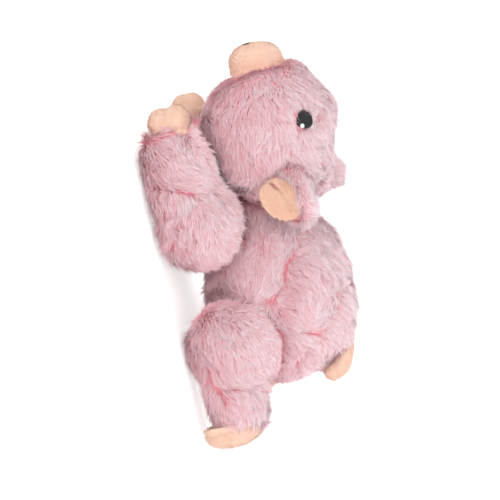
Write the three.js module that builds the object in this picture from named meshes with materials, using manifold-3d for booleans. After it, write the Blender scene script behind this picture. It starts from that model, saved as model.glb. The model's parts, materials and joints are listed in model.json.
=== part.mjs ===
// A stuffed plush pig, a dog's toy, lying on its belly with its front legs ahead and its rear legs back.
// Lengths are millimetres, with +Z up. The snout points along -X and the pig's left side is at -Y.
// The origin is on the surface it lies on, below the middle of its box.
import * as THREE from "three";
import { mergeVertices } from "three/addons/utils/BufferGeometryUtils.js";
import Module from "manifold-3d";

const wasm = await Module();
wasm.setup();

// Cloth, seams and clearances
const PILE = 7; // long-pile cloth, from its backing to the tips of its pile
const NAP = 2.2; // short-pile cloth of the snout, the hooves, the ear linings and the tail
const SEAM_GAP = 0.3; // between two pieces that are sewn to each other
const SWING_GAP = 0.5; // between two pieces that turn on each other
const REST_CUT = 0.5; // how deep a stuffed form is flattened where it lies on the floor

// Lengths along the toy, from the front of the snout to the end of the rear hooves
const SNOUT_LENGTH = 16;
const HEAD_LENGTH = 99;
const NECK_LAP = 17; // how far the front of the body sits in the back of the head
const TORSO_LENGTH = 136;
const SHOULDER_SETBACK = 15; // from the front of the body to the front legs' hinge
const HIP_SETBACK = 34; // from the end of the body to the rear legs' hinge

// Body and head: half widths and half heights at the front, the middle and the back
const TORSO = { wide: [38, 43.5, 44], tall: [41, 51, 48], fullness: 2.4 };
const BELLY_HEIGHT = 14.5;
const HAUNCH = { setback: 75, spread: 20, height: 82, halfLength: 36, halfDepth: 24, halfHeight: 27 };
const HEAD = { wide: [43, 48, 41], tall: [45, 48.5, 39], fullness: 2.8 };
const CHIN_HEIGHT = 38.5;
const NECK_HINGE = { setback: 6, height: 98 }; // behind the front of the body, and above the floor
const NOD_ANGLE = 25;
const NOD_STEPS = 3; // places of the body's front that the back of the head is hollowed for

// Snout, nostrils and eyes
const SNOUT = { radius: 19, corner: 9, height: 88, depth: 12 };
const NOSTRIL = { halfWidth: 2.2, halfHeight: 3.4, spread: 7.5, drop: 2, relief: 1.2 };
const EYE = { radius: 6, relief: 3, setback: 44.5, height: 118, bed: 1 }; // bed: how deep it is let in
const GLINT = { radius: 1.5, drop: 2.6, setback: 1.2 };

// Ears: a cupped leaf of pile cloth with a lining on its outer face
const EAR = { halfWidth: 17.5, cup: 9, setback: 71, height: 99, bed: 5.1, flare: 0.3, droop: 0.25, taper: 0.18 };
const EAR_LENGTH = { left: 46, right: 33 }; // the right ear is folded over at its tip
const EAR_RISE = { left: 0.08, right: 0.52 }; // how far each ear rises for each millimetre of its length
const EAR_PILE = 5.5;
const LINING = { inset: 3.2, thickness: 1.8 };

// Legs: a round upper lobe turned about its hinge, a lower part, and a cloven hoof at the end
const LEG_SPREAD = 43; // from the middle plane to the middle of each leg
const LEG_INNER = 25; // from the middle plane to the flat inner side of each leg
const LEG_HALF_DEPTH = 22;
const LEG_ROOT_RADIUS = 11; // the opening in each leg's skin, where it is filled and sewn to the body
const FRONT_LEG = {
  lobe: 29.5, reach: { left: 84.5, right: 94 }, tuck: 10,
  tall: [24, 24.5, 18], wide: [21, 22, 17], height: 24, fullness: 2.6,
  hoof: {
    length: 20, overlap: 13, halfAcross: 9, halfDeep: 14.5, offset: 7, height: 27, blunt: 2.4,
    stacked: true,
  },
};
const REAR_LEG = {
  lobe: 31, reach: { left: 66, right: 42 }, tuck: 12,
  tall: [24, 22.5, 20], wide: [21, 22, 19], height: 27.5, fullness: 2.6,
  hoof: {
    length: 14, overlap: 14, halfAcross: 11.5, halfDeep: 21.6, offset: 9, height: 21.1, blunt: 3.2,
    stacked: false,
  },
};

// Tail
const TAIL = { radius: 6.2, setback: 25, bed: 5, length: 37, slope: 38, bow: 3.5, fullness: 2.6 };

// Inside the body
const SQUEAKER = { radius: 18, halfHeight: 14, wall: 1.2, neckRadius: 6, neckLength: 5, height: 62 };
const REED = { flange: 8, flangeThickness: 1.6, bore: 1.8 };
const CLOSING_SEAM = { length: 52, width: 1.4 }; // the last seam, under the belly

// Points round each kind of form, and rings along it
const FACETS = {
  body: [24, 14], limb: [18, 10], lobe: [24, 8], hoof: [14, 8], fill: [12, 8], fillLobe: [12, 6],
  leaf: [14, 10], patch: [12, 6], glint: [8, 4], tail: [14, 9], turned: [16, 6], corner: 3,
};

// Where each station falls
const bodyLength = SNOUT_LENGTH + HEAD_LENGTH - NECK_LAP + TORSO_LENGTH;
const rearReach = Math.max(...Object.values(REAR_LEG.reach));
const overallLength = NOSTRIL.relief + bodyLength - HIP_SETBACK + rearReach;
const snoutX = -overallLength / 2 + NOSTRIL.relief;
const headFrontX = snoutX + SNOUT_LENGTH;
const headBackX = headFrontX + HEAD_LENGTH;
const torsoFrontX = headBackX - NECK_LAP;
const torsoBackX = torsoFrontX + TORSO_LENGTH;
const torsoMiddleX = (torsoFrontX + torsoBackX) / 2;
const torsoZ = BELLY_HEIGHT + TORSO.tall[1];
const headZ = CHIN_HEIGHT + HEAD.tall[1];
const neck = new THREE.Vector3(torsoFrontX + NECK_HINGE.setback + SWING_GAP, 0, NECK_HINGE.height);
const legHeight = (leg) => leg.lobe - REST_CUT;
const FAR = 400; // larger than the toy, for trimming blocks
const OVERRUN = 1; // how far a cutting tool runs past what it cuts

const SIDES = { left: -1, right: 1 };

const MATERIALS = {
  plush: new THREE.MeshStandardMaterial({ color: 0xe6b6bd, roughness: 0.95, metalness: 0 }),
  nap: new THREE.MeshStandardMaterial({ color: 0xf4c7a9, roughness: 0.9, metalness: 0 }),
  blackThread: new THREE.MeshStandardMaterial({ color: 0x0c0b0c, roughness: 0.6, metalness: 0 }),
  whiteThread: new THREE.MeshStandardMaterial({ color: 0xf2f2f2, roughness: 0.6, metalness: 0 }),
  stuffing: new THREE.MeshStandardMaterial({ color: 0xf6f4ef, roughness: 1, metalness: 0 }),
  squeaker: new THREE.MeshStandardMaterial({ color: 0xe9ecec, roughness: 0.4, metalness: 0 }),
};

// Turns a closed geometry into a solid that can be joined and cut
function solidOf(geometry) {
  const bare = geometry.clone();
  bare.deleteAttribute("normal");
  bare.deleteAttribute("uv");
  const merged = mergeVertices(bare, 1e-4);
  return new wasm.Manifold(new wasm.Mesh({
    numProp: 3,
    vertProperties: Float32Array.from(merged.attributes.position.array),
    triVerts: Uint32Array.from(merged.index.array),
  }));
}

// Turns a solid into a named mesh
function meshOf(name, solid, material) {
  const { vertProperties, triVerts } = solid.getMesh();
  const geometry = new THREE.BufferGeometry();
  geometry.setAttribute("position", new THREE.BufferAttribute(Float32Array.from(vertProperties), 3));
  geometry.setIndex(Array.from(triVerts));
  geometry.computeVertexNormals();
  const mesh = new THREE.Mesh(geometry, material);
  mesh.name = name;
  return mesh;
}

// The value at s, from 0 to 1, of the smooth curve through three values
function between([start, middle, end], s) {
  return start * (1 - s) * (1 - 2 * s) + middle * 4 * s * (1 - s) + end * s * (2 * s - 1);
}

// A block between two corners
function block(low, high) {
  const size = high.map((value, i) => value - low[i]);
  const box = new THREE.BoxGeometry(...size);
  return solidOf(box.translate(...low.map((value, i) => value + size[i] / 2)));
}

// A copy of the unit sphere, its poles on the X axis, with each point moved by a function
function shapedBall(facets, move) {
  const ball = new THREE.SphereGeometry(1, ...facets).rotateZ(Math.PI / 2);
  const points = ball.attributes.position;
  for (let i = 0; i < points.count; i += 1) {
    const moved = move(new THREE.Vector3().fromBufferAttribute(points, i));
    points.setXYZ(i, moved.x, moved.y, moved.z);
  }
  return ball;
}

// A stuffed form that swells and tapers along a spine from one tip to the other. Its half sizes are given
// at the start, the middle and the end. More fullness makes blunter ends, and grow moves it all outwards.
function stuffed({ from, to, wide, tall, fullness, bow = [0, 0, 0], facets, grow = 0 }) {
  const start = new THREE.Vector3(...from);
  const end = new THREE.Vector3(...to);
  const axis = end.clone().sub(start).normalize();
  const across = new THREE.Vector3(0, 1, 0).addScaledVector(axis, -axis.y).normalize();
  const up = axis.clone().cross(across);
  start.addScaledVector(axis, -grow);
  end.addScaledVector(axis, grow);
  return solidOf(shapedBall(facets, (point) => {
    const s = (point.x + 1) / 2;
    const ring = Math.hypot(point.y, point.z);
    const envelope = Math.max(0, 1 - Math.abs(point.x) ** fullness) ** (1 / fullness);
    const stretch = ring > 1e-6 ? envelope / ring : 0;
    const arch = 4 * s * (1 - s);
    return start.clone().lerp(end, s)
      .addScaledVector(new THREE.Vector3(...bow), arch)
      .addScaledVector(across, point.y * stretch * (between(wide, s) + grow))
      .addScaledVector(up, point.z * stretch * (between(tall, s) + grow));
  }));
}

// The half width and half height of a level stuffed form at a place along X
function sectionAt({ from, to, wide, tall, fullness }, x) {
  const s = (x - from[0]) / (to[0] - from[0]);
  const envelope = Math.max(0, 1 - Math.abs(2 * s - 1) ** fullness) ** (1 / fullness);
  return { halfWidth: envelope * between(wide, s), halfHeight: envelope * between(tall, s) };
}

// A round lobe, turned about the lateral axis through its middle unless it has a height of its own
function lobe({ x, y, z, radius, halfDepth, halfHeight = radius, facets, grow }) {
  const ball = new THREE.SphereGeometry(1, ...facets);
  ball.scale(radius + grow, halfDepth + grow, halfHeight + grow);
  return solidOf(ball.translate(x, y, z));
}

// A copy of a solid turned about the lateral axis through a point
function turned(solid, point, degrees) {
  const { vertProperties, triVerts } = solid.getMesh();
  const geometry = new THREE.BufferGeometry();
  geometry.setAttribute("position", new THREE.BufferAttribute(Float32Array.from(vertProperties), 3));
  geometry.setIndex(Array.from(triVerts));
  geometry.translate(-point.x, -point.y, -point.z);
  geometry.rotateY(THREE.MathUtils.degToRad(degrees));
  return solidOf(geometry.translate(point.x, point.y, point.z));
}

const joined = (solids) => solids.reduce((all, solid) => all.add(solid));
const cut = (solid, tools) => tools.reduce((left, tool) => left.subtract(tool), solid);

// The room on one side of the body, from a distance off the middle plane outwards
function outside(side, distance) {
  const ys = [side * distance, side * FAR].sort((a, b) => a - b);
  return block([-FAR, ys[0], -FAR], [FAR, ys[1], FAR]);
}

const belowFloor = () => block([-FAR, -FAR, -FAR], [FAR, FAR, 0]);

const HINGE_X = { front: torsoFrontX + SHOULDER_SETBACK, rear: torsoBackX - HIP_SETBACK };
const LEGS = [
  { end: "front", hand: "left", leg: FRONT_LEG },
  { end: "front", hand: "right", leg: FRONT_LEG },
  { end: "rear", hand: "left", leg: REAR_LEG },
  { end: "rear", hand: "right", leg: REAR_LEG },
].map(({ end, hand, leg }) => ({
  name: `${end}_leg_${hand}`,
  hoofName: `${end}_hoof_${hand}`,
  leg,
  side: SIDES[hand],
  heading: end === "front" ? -1 : 1,
  x: HINGE_X[end],
  y: SIDES[hand] * LEG_SPREAD,
  z: legHeight(leg),
  reach: leg.reach[hand],
}));

// One leg without its hoof, still whole on its inner side
function legForm({ leg, heading, x, y, z, reach }, grow) {
  const tip = reach - leg.hoof.length + leg.hoof.overlap;
  const isFill = grow < 0;
  const top = { x, y, z, radius: leg.lobe, halfDepth: LEG_HALF_DEPTH, grow };
  return lobe({ ...top, facets: isFill ? FACETS.fillLobe : FACETS.lobe }).add(stuffed({
    from: [x - heading * leg.tuck, y, leg.height],
    to: [x + heading * tip, y, leg.height],
    wide: leg.wide,
    tall: leg.tall,
    fullness: leg.fullness,
    facets: isFill ? FACETS.fill : FACETS.limb,
    grow,
  }));
}

// The part of the toy beyond the plane where a leg's pile ends and its hoof starts
function pastAnkle({ leg, heading, x, reach }, shift) {
  const ankle = x + heading * (reach - leg.hoof.length + shift);
  const xs = [ankle, heading * FAR].sort((a, b) => a - b);
  return block([xs[0], -FAR, -FAR], [xs[1], FAR, FAR]);
}

// The room that a leg needs in the body's side
function legPocket(placed, inset) {
  return legForm(placed, SWING_GAP + inset).intersect(outside(placed.side, LEG_INNER - inset));
}

// The root of a leg's filling, a plug about the hinge that runs from the body's side to the leg's middle
function legRoot({ side, x, y, z }, grow) {
  const length = LEG_SPREAD - LEG_INNER;
  const radius = LEG_ROOT_RADIUS + grow;
  const plug = new THREE.CylinderGeometry(radius, radius, length, FACETS.fill[0]);
  return solidOf(plug.translate(x, y - (side * length) / 2, z));
}

function legMeshes(placed) {
  const room = outside(placed.side, LEG_INNER + SWING_GAP);
  const outer = cut(legForm(placed, 0), [belowFloor(), pastAnkle(placed, -SEAM_GAP)]).intersect(room);
  const hollow = cut(legForm(placed, -PILE), [pastAnkle(placed, -PILE)]).add(legRoot(placed, 0));
  const inner = cut(legForm(placed, -PILE - SEAM_GAP), [pastAnkle(placed, -PILE - SEAM_GAP)]);
  const filling = inner.add(legRoot(placed, -SEAM_GAP)).intersect(room);
  return [
    meshOf(placed.name, outer.subtract(hollow), MATERIALS.plush),
    meshOf(`${placed.name}_stuffing`, filling, MATERIALS.stuffing),
    meshOf(placed.hoofName, hoof(placed), MATERIALS.nap),
  ];
}

// A cloven hoof: two blunt lobes, one above the other on the front legs and side by side on the rear ones
function hoof(placed) {
  const { leg, heading, x, y, reach } = placed;
  const { length, overlap, halfAcross, halfDeep, offset, height, blunt, stacked } = leg.hoof;
  const lobes = [-offset, offset].map((shift) => {
    const place = stacked ? [y, height + shift] : [y + shift, height];
    return stuffed({
      from: [x + heading * (reach - length - overlap), ...place],
      to: [x + heading * reach, ...place],
      wide: Array(3).fill(stacked ? halfDeep : halfAcross),
      tall: Array(3).fill(stacked ? halfAcross : halfDeep),
      fullness: blunt,
      facets: FACETS.hoof,
    });
  });
  return cut(joined(lobes).intersect(pastAnkle(placed, 0)), [belowFloor()]);
}

const torsoShape = { from: [torsoFrontX, 0, torsoZ], to: [torsoBackX, 0, torsoZ], ...TORSO };

// The swell of the haunches on both sides of the body
function haunches(inset) {
  const { setback, spread, height, halfLength, halfDepth, halfHeight } = HAUNCH;
  return Object.values(SIDES).map((side) => lobe({
    x: torsoFrontX + setback,
    y: side * spread,
    z: height,
    radius: halfLength,
    halfDepth,
    halfHeight,
    facets: inset > 0 ? FACETS.fillLobe : FACETS.lobe,
    grow: -inset,
  }));
}

// The body, with seats for the legs and its lower sides drawn in between them
function torsoForm(inset) {
  const barrel = stuffed({ ...torsoShape, facets: inset > 0 ? FACETS.fill : FACETS.body, grow: -inset });
  const form = joined([barrel, ...haunches(inset)]);
  const hingeHeight = Math.max(...LEGS.map(({ z }) => z));
  const drawnIn = Object.values(SIDES).map((side) => outside(side, LEG_INNER - inset)
    .intersect(block([-FAR, -FAR, -FAR], [FAR, FAR, hingeHeight + SWING_GAP + inset])));
  return cut(form, [...LEGS.map((placed) => legPocket(placed, inset)), ...drawnIn]);
}

function torsoMeshes() {
  const { length, width } = CLOSING_SEAM;
  const seam = block(
    [torsoMiddleX - length / 2, -width / 2, 0],
    [torsoMiddleX + length / 2, width / 2, SQUEAKER.height],
  );
  const skin = cut(torsoForm(0), [torsoForm(PILE), seam]);
  const filling = cut(torsoForm(PILE + SEAM_GAP), [squeakerBulb(SEAM_GAP), squeakerReed(SEAM_GAP), seam]);
  return [
    meshOf("torso_skin", skin, MATERIALS.plush),
    meshOf("torso_stuffing", filling, MATERIALS.stuffing),
    meshOf("squeaker_bulb", squeakerBulb(0).subtract(squeakerAir()), MATERIALS.squeaker),
    meshOf("squeaker_reed", squeakerReed(0).subtract(reedBore()), MATERIALS.squeaker),
  ];
}

// A solid turned about the vertical axis below the squeaker, from the radii and heights of its outline
function turnedSqueakerPart(outline) {
  const points = outline.map(([radius, height]) => new THREE.Vector2(radius, height));
  const turnedPart = new THREE.LatheGeometry(points, FACETS.turned[0]).rotateX(Math.PI / 2);
  return solidOf(turnedPart.translate(torsoMiddleX, 0, SQUEAKER.height));
}

// The outline of an oval bulb that ends in a short neck, from its lowest point on the axis to its top
function bulbOutline(radius, halfHeight, neckRadius, neckEnd) {
  const neckAngle = Math.asin(neckRadius / radius);
  const steps = FACETS.turned[1];
  const oval = Array.from({ length: steps + 1 }, (_, i) => {
    const angle = neckAngle + (Math.PI - neckAngle) * (i / steps);
    return [i === steps ? 0 : radius * Math.sin(angle), -halfHeight * Math.cos(angle)];
  });
  return [[0, neckEnd], [neckRadius, neckEnd], ...oval];
}

function squeakerBulb(grow) {
  const { radius, halfHeight, neckRadius, neckLength } = SQUEAKER;
  return turnedSqueakerPart(
    bulbOutline(radius + grow, halfHeight + grow, neckRadius + grow, -halfHeight - neckLength - grow),
  );
}

function squeakerAir() {
  const { radius, halfHeight, wall, neckRadius, neckLength } = SQUEAKER;
  return turnedSqueakerPart(
    bulbOutline(radius - wall, halfHeight - wall, neckRadius - wall, -halfHeight - neckLength - OVERRUN),
  );
}

// The reed plug: a flange under the bulb's neck and a stem that fits inside it
function squeakerReed(grow) {
  const { halfHeight, neckRadius, neckLength, wall } = SQUEAKER;
  const stem = neckRadius - wall - SEAM_GAP;
  const neckEnd = -halfHeight - neckLength;
  const top = neckEnd - SEAM_GAP + grow;
  const bottom = neckEnd - SEAM_GAP - REED.flangeThickness - grow;
  const stemTop = neckEnd + neckLength;
  const flange = [[0, bottom], [REED.flange + grow, bottom], [REED.flange + grow, top]];
  return turnedSqueakerPart([...flange, [stem, top], [stem, stemTop], [0, stemTop]]);
}

function reedBore() {
  const depth = SQUEAKER.halfHeight + SQUEAKER.neckLength + SEAM_GAP + REED.flangeThickness + OVERRUN;
  return turnedSqueakerPart([[0, -depth], [REED.bore, -depth], [REED.bore, 0], [0, 0]]);
}

const headShape = { from: [headFrontX, 0, headZ], to: [headBackX, 0, headZ], ...HEAD };

// The head without its neck seat
function headForm(grow) {
  return stuffed({ ...headShape, facets: grow < 0 ? FACETS.fill : FACETS.body, grow });
}

// A point let into one side of the head, at a setback from its front and a height
function onHead(side, { setback, height, bed }) {
  const { halfWidth, halfHeight } = sectionAt(headShape, headFrontX + setback);
  const spread = halfWidth * Math.sqrt(Math.max(0, 1 - ((height - headZ) / halfHeight) ** 2));
  return new THREE.Vector3(headFrontX + setback, side * (spread - bed), height);
}

// The front of the body as the head meets it on its way up through the nod
function neckSeat() {
  const front = stuffed({ ...torsoShape, facets: FACETS.body, grow: SWING_GAP });
  const angles = Array.from({ length: NOD_STEPS }, (_, i) => (-NOD_ANGLE * i) / (NOD_STEPS - 1));
  return joined(angles.map((angle) => turned(front, neck, angle)));
}

// The snout: a short drum with a rounded front edge, its axis along X
function snoutForm(inset) {
  const { radius, corner, height, depth } = SNOUT;
  const outerRadius = radius - inset;
  const round = corner - inset;
  const front = SNOUT_LENGTH - inset;
  const edge = Array.from({ length: FACETS.corner + 1 }, (_, i) => {
    const angle = (Math.PI / 2) * (i / FACETS.corner);
    const outwards = outerRadius - round + round * Math.cos(angle);
    return new THREE.Vector2(outwards, front - round + round * Math.sin(angle));
  });
  const outline = [new THREE.Vector2(0, -depth), new THREE.Vector2(outerRadius, -depth), ...edge];
  outline.push(new THREE.Vector2(0, front));
  const drum = new THREE.LatheGeometry(outline, FACETS.body[0]).rotateZ(Math.PI / 2);
  return solidOf(drum.translate(headFrontX, 0, height));
}

// A flat oval patch of thread with its face along a unit direction
function patch(centre, facing, halfWidth, halfHeight, relief, facets = FACETS.patch) {
  const turn = new THREE.Quaternion().setFromUnitVectors(new THREE.Vector3(1, 0, 0), facing);
  const ball = new THREE.SphereGeometry(1, ...facets).rotateZ(Math.PI / 2);
  ball.scale(relief, halfWidth, halfHeight).applyQuaternion(turn);
  return solidOf(ball.translate(centre.x, centre.y, centre.z));
}

function headMeshes() {
  const seat = neckSeat();
  const hollow = headForm(-PILE);
  const skin = cut(headForm(0), [hollow, seat]);
  const filling = cut(headForm(-PILE - SEAM_GAP), [seat]);
  const face = headForm(SEAM_GAP);
  const cover = cut(snoutForm(0), [snoutForm(NAP), face]);
  const meshes = [
    meshOf("head_skin", skin, MATERIALS.plush),
    meshOf("head_stuffing", filling, MATERIALS.stuffing),
    meshOf("snout_cover", cover, MATERIALS.nap),
    meshOf("snout_stuffing", snoutForm(NAP + SEAM_GAP).subtract(face), MATERIALS.stuffing),
  ];
  for (const [hand, side] of Object.entries(SIDES)) {
    meshes.push(...faceMeshes(hand, side, face), ...earMeshes(hand, side, face));
  }
  return meshes;
}

// The embroidered nostril and eye of one side, the eye with its glint
function faceMeshes(hand, side, face) {
  const nostril = patch(
    new THREE.Vector3(snoutX, side * NOSTRIL.spread, SNOUT.height - NOSTRIL.drop),
    new THREE.Vector3(-1, 0, 0), NOSTRIL.halfWidth, NOSTRIL.halfHeight, NOSTRIL.relief,
  ).subtract(snoutForm(-SEAM_GAP));
  const centre = onHead(side, EYE);
  const facing = new THREE.Vector3(0, centre.y, centre.z - headZ).normalize();
  const eye = patch(centre, facing, EYE.radius, EYE.radius, EYE.relief);
  const down = new THREE.Vector3(0, 0, -1).projectOnPlane(facing).normalize();
  const shift = down.multiplyScalar(GLINT.drop).add(new THREE.Vector3(GLINT.setback, 0, 0));
  const rise = EYE.relief * Math.sqrt(1 - (shift.length() / EYE.radius) ** 2);
  const glintCentre = centre.clone().add(shift).addScaledVector(facing, rise);
  const glint = patch(glintCentre, facing, GLINT.radius, GLINT.radius, GLINT.radius, FACETS.glint);
  const clearRadius = EYE.radius + SEAM_GAP;
  const eyeClearance = patch(centre, facing, clearRadius, clearRadius, EYE.relief + SEAM_GAP);
  return [
    meshOf(`nostril_${hand}`, nostril, MATERIALS.blackThread),
    meshOf(`eye_${hand}`, eye.subtract(face), MATERIALS.blackThread),
    meshOf(`eye_glint_${hand}`, cut(glint, [eyeClearance, face]), MATERIALS.whiteThread),
  ];
}

// A cupped leaf from its root to its tip, lying off the ear's middle surface by a lift
function earLeaf(hand, side, { inset, halfThickness, lift }) {
  const root = onHead(side, EAR);
  const along = new THREE.Vector3(1, side * EAR.flare, EAR_RISE[hand]).normalize();
  const outward = new THREE.Vector3(0, side, -EAR.droop).projectOnPlane(along).normalize();
  const across = outward.clone().cross(along).multiplyScalar(side);
  const halfLength = EAR_LENGTH[hand] / 2 - inset;
  const halfWidth = EAR.halfWidth - inset;
  return solidOf(shapedBall(FACETS.leaf, (point) => {
    const ball = new THREE.Vector3(point.x, point.y, point.z * side);
    const widen = halfWidth * (1 - EAR.taper * ball.x);
    const offCentre = (ball.y * widen) / EAR.halfWidth;
    return root.clone()
      .addScaledVector(along, EAR_LENGTH[hand] / 2 + ball.x * halfLength)
      .addScaledVector(across, ball.y * widen)
      .addScaledVector(outward, ball.z * halfThickness + lift + EAR.cup * offCentre ** 2);
  }));
}

function earMeshes(hand, side, face) {
  const back = earLeaf(hand, side, { inset: 0, halfThickness: EAR_PILE / 2, lift: 0 });
  const liningHalf = LINING.thickness / 2;
  const liningLift = EAR_PILE / 2 + SEAM_GAP + liningHalf;
  const lining = earLeaf(hand, side, { inset: LINING.inset, halfThickness: liningHalf, lift: liningLift });
  return [
    meshOf(`ear_back_${hand}`, back.subtract(face), MATERIALS.plush),
    meshOf(`ear_lining_${hand}`, lining.subtract(face), MATERIALS.nap),
  ];
}

// A short stuffed tail that bends down over the rump
function tailMesh() {
  const slope = THREE.MathUtils.degToRad(TAIL.slope);
  const rootX = torsoBackX - TAIL.setback;
  const root = [rootX, 0, torsoZ + sectionAt(torsoShape, rootX).halfHeight - TAIL.bed];
  const tip = [root[0] + TAIL.length * Math.cos(slope), 0, root[2] - TAIL.length * Math.sin(slope)];
  const form = stuffed({
    from: root,
    to: tip,
    wide: Array(3).fill(TAIL.radius),
    tall: Array(3).fill(TAIL.radius),
    fullness: TAIL.fullness,
    bow: [TAIL.bow * Math.sin(slope), 0, TAIL.bow * Math.cos(slope)],
    facets: FACETS.tail,
  });
  const rump = stuffed({ ...torsoShape, facets: FACETS.body, grow: SEAM_GAP });
  return meshOf("tail", form.subtract(rump), MATERIALS.nap);
}

const pig = new THREE.Group();
pig.add(...torsoMeshes(), ...headMeshes(), ...LEGS.flatMap(legMeshes), tailMesh());

export default pig;
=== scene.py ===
"""Dresses the frame of a stuffed plush pig, a dog's toy, in pile cloth, nap cloth and thread.

Lengths are metres. The snout points along -X, the pig's left side is at -Y and +Z is up.
"""

import json
import logging
import math
from collections.abc import Callable, Iterable, Sequence
from dataclasses import dataclass
from enum import Enum

import bpy
import numpy as np
from mathutils import Matrix, Vector
from mathutils.kdtree import KDTree


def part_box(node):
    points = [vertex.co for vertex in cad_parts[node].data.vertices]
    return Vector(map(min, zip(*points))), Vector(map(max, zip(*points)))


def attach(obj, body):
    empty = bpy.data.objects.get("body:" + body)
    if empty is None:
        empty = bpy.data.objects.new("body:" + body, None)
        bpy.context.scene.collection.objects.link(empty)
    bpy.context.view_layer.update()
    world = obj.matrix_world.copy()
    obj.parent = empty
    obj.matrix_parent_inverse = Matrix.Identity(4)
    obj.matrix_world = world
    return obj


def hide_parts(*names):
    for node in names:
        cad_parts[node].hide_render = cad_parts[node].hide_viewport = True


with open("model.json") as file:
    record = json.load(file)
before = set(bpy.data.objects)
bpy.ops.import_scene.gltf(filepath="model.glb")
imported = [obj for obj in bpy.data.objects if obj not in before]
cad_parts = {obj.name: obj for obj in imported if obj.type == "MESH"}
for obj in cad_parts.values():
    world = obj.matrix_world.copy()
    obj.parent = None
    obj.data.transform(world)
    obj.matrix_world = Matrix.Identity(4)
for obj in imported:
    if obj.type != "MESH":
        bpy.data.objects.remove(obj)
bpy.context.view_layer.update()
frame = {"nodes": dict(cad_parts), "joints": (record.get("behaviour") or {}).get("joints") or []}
LOG = logging.getLogger("plush_pig")

Array = np.ndarray
Pair = tuple[float, float]
Triple = tuple[float, float, float]
Colour = tuple[float, float, float]
Faces = list[tuple[int, ...]]
Field = Callable[[Array, Array], Array]
Test = Callable[[Array], Array]

MM = 0.001
FLOOR_CLEARANCE = 0.4 * MM
BACKING_DEPTH = 3.4 * MM
FILLING_DEPTH = 1.2 * MM
SWING_GAP = 0.5 * MM
SIDEWAYS = np.array([0.0, 1.0, 0.0])
WHITE = (255, 255, 255)


class Side(Enum):
    """A way along an axis, with a name."""

    @property
    def word(self) -> str:
        """The name as the frame spells it."""
        return self.name.lower()


class Hand(Side):
    """The two sides of the pig, with the direction of each along Y."""

    LEFT = -1
    RIGHT = 1


class End(Side):
    """The two ends of the body that a leg can be on, with the way it is stretched along X."""

    FRONT = -1
    REAR = 1


def linear(colour: Colour) -> tuple[float, float, float, float]:
    """Turns a colour as seen on a screen, 0 to 255, into the shader's own scale, with an alpha of 1."""
    shares = [value / 255 for value in colour]
    return (*(s / 12.92 if s <= 0.04045 else ((s + 0.055) / 1.055) ** 2.4 for s in shares), 1.0)


def unit(vectors: Array) -> Array:
    """Scales each row to length 1."""
    return vectors / np.maximum(np.linalg.norm(vectors, axis=-1, keepdims=True), 1e-9)


def bell(offset: Array, width: float) -> Array:
    """A smooth bump, 1 where the offset is 0 and fading over the width."""
    return np.exp(-((offset / width) ** 2))


def between(values: Triple, s: Array) -> Array:
    """Follows the smooth curve through three values, at 0, at a half and at 1."""
    start, middle, end = values
    return start * (1 - s) * (1 - 2 * s) + middle * 4 * s * (1 - s) + end * s * (2 * s - 1)


def neighbours(around: int) -> list[tuple[int, int]]:
    """The numbers of the points in a ring, each with the next one's."""
    return [(j, (j + 1) % around) for j in range(around)]


def bands(around: int, rows: int, first: int = 0) -> Faces:
    """Joins rings of points with four-sided faces.

    Args:
        around: Points in each ring.
        rows: How many rings there are.
        first: The number of the first ring's first point.

    Returns:
        The faces, ring by ring.
    """
    faces: Faces = []
    for here in range(first, first + (rows - 1) * around, around):
        there = here + around
        faces += [(here + j, here + k, there + k, there + j) for j, k in neighbours(around)]
    return faces


@dataclass
class Shell:
    """A closed surface, as its points and its faces."""

    points: Array
    faces: Faces

    def flattened(self, side: float, distance: float) -> "Shell":
        """Presses the inner side flat against a plane beside the body.

        Args:
            side: -1 for the pig's left, 1 for its right.
            distance: How far the plane is from the middle of the pig.

        Returns:
            The pressed shell.
        """
        points = self.points.copy()
        points[:, 1] = side * np.maximum(side * points[:, 1], distance)
        return Shell(points, self.faces)

    def above_floor(self, height: float) -> "Shell":
        """Presses the underside flat at a height."""
        return Shell(np.maximum(self.points, [-np.inf, -np.inf, height]), self.faces)


def joined(shells: Iterable[Shell]) -> Shell:
    """Puts several shells in one.

    Args:
        shells: The shells.

    Returns:
        One shell with all their faces.
    """
    points, faces, count = [], [], 0
    for shell in shells:
        points.append(shell.points)
        faces += [tuple(i + count for i in face) for face in shell.faces]
        count += len(shell.points)
    return Shell(np.vstack(points), faces)


def unit_ball(around: int, along: int) -> Shell:
    """Makes a ball of radius 1 with its poles on the X axis.

    Args:
        around: Points in each ring.
        along: Bands of faces from pole to pole.

    Returns:
        The ball.
    """
    theta = np.linspace(0, math.pi, along + 1)[1:-1]
    phi = np.arange(around) * 2 * math.pi / around
    rings = np.stack([
        np.repeat(-np.cos(theta), around),
        np.outer(np.sin(theta), np.cos(phi)).ravel(),
        np.outer(np.sin(theta), np.sin(phi)).ravel(),
    ], 1)
    points = np.vstack([[-1, 0, 0], rings, [1, 0, 0]])
    last = len(points) - 1
    tail = last - around
    faces: Faces = [(0, 1 + k, 1 + j) for j, k in neighbours(around)]
    faces += bands(around, along - 1, 1)
    faces += [(last, tail + j, tail + k) for j, k in neighbours(around)]
    return Shell(points, faces)


def loops(spine: Array, aside: Array, above: Array, wide: Array, tall: Array, around: int) -> Array:
    """Lays an oval ring of points round each point of a path.

    Args:
        spine: The path's points.
        aside: The way that the width is measured in, at each.
        above: The way that the height is measured in, at each.
        wide: The half width of each ring.
        tall: The half height of each ring.
        around: Points in each ring.

    Returns:
        The points, ring by ring.
    """
    phi = np.arange(around) * 2 * math.pi / around
    return (
        spine[:, None]
        + (wide[:, None] * np.cos(phi))[:, :, None] * aside[:, None]
        + (tall[:, None] * np.sin(phi))[:, :, None] * above[:, None]
    ).reshape(-1, 3)


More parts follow.
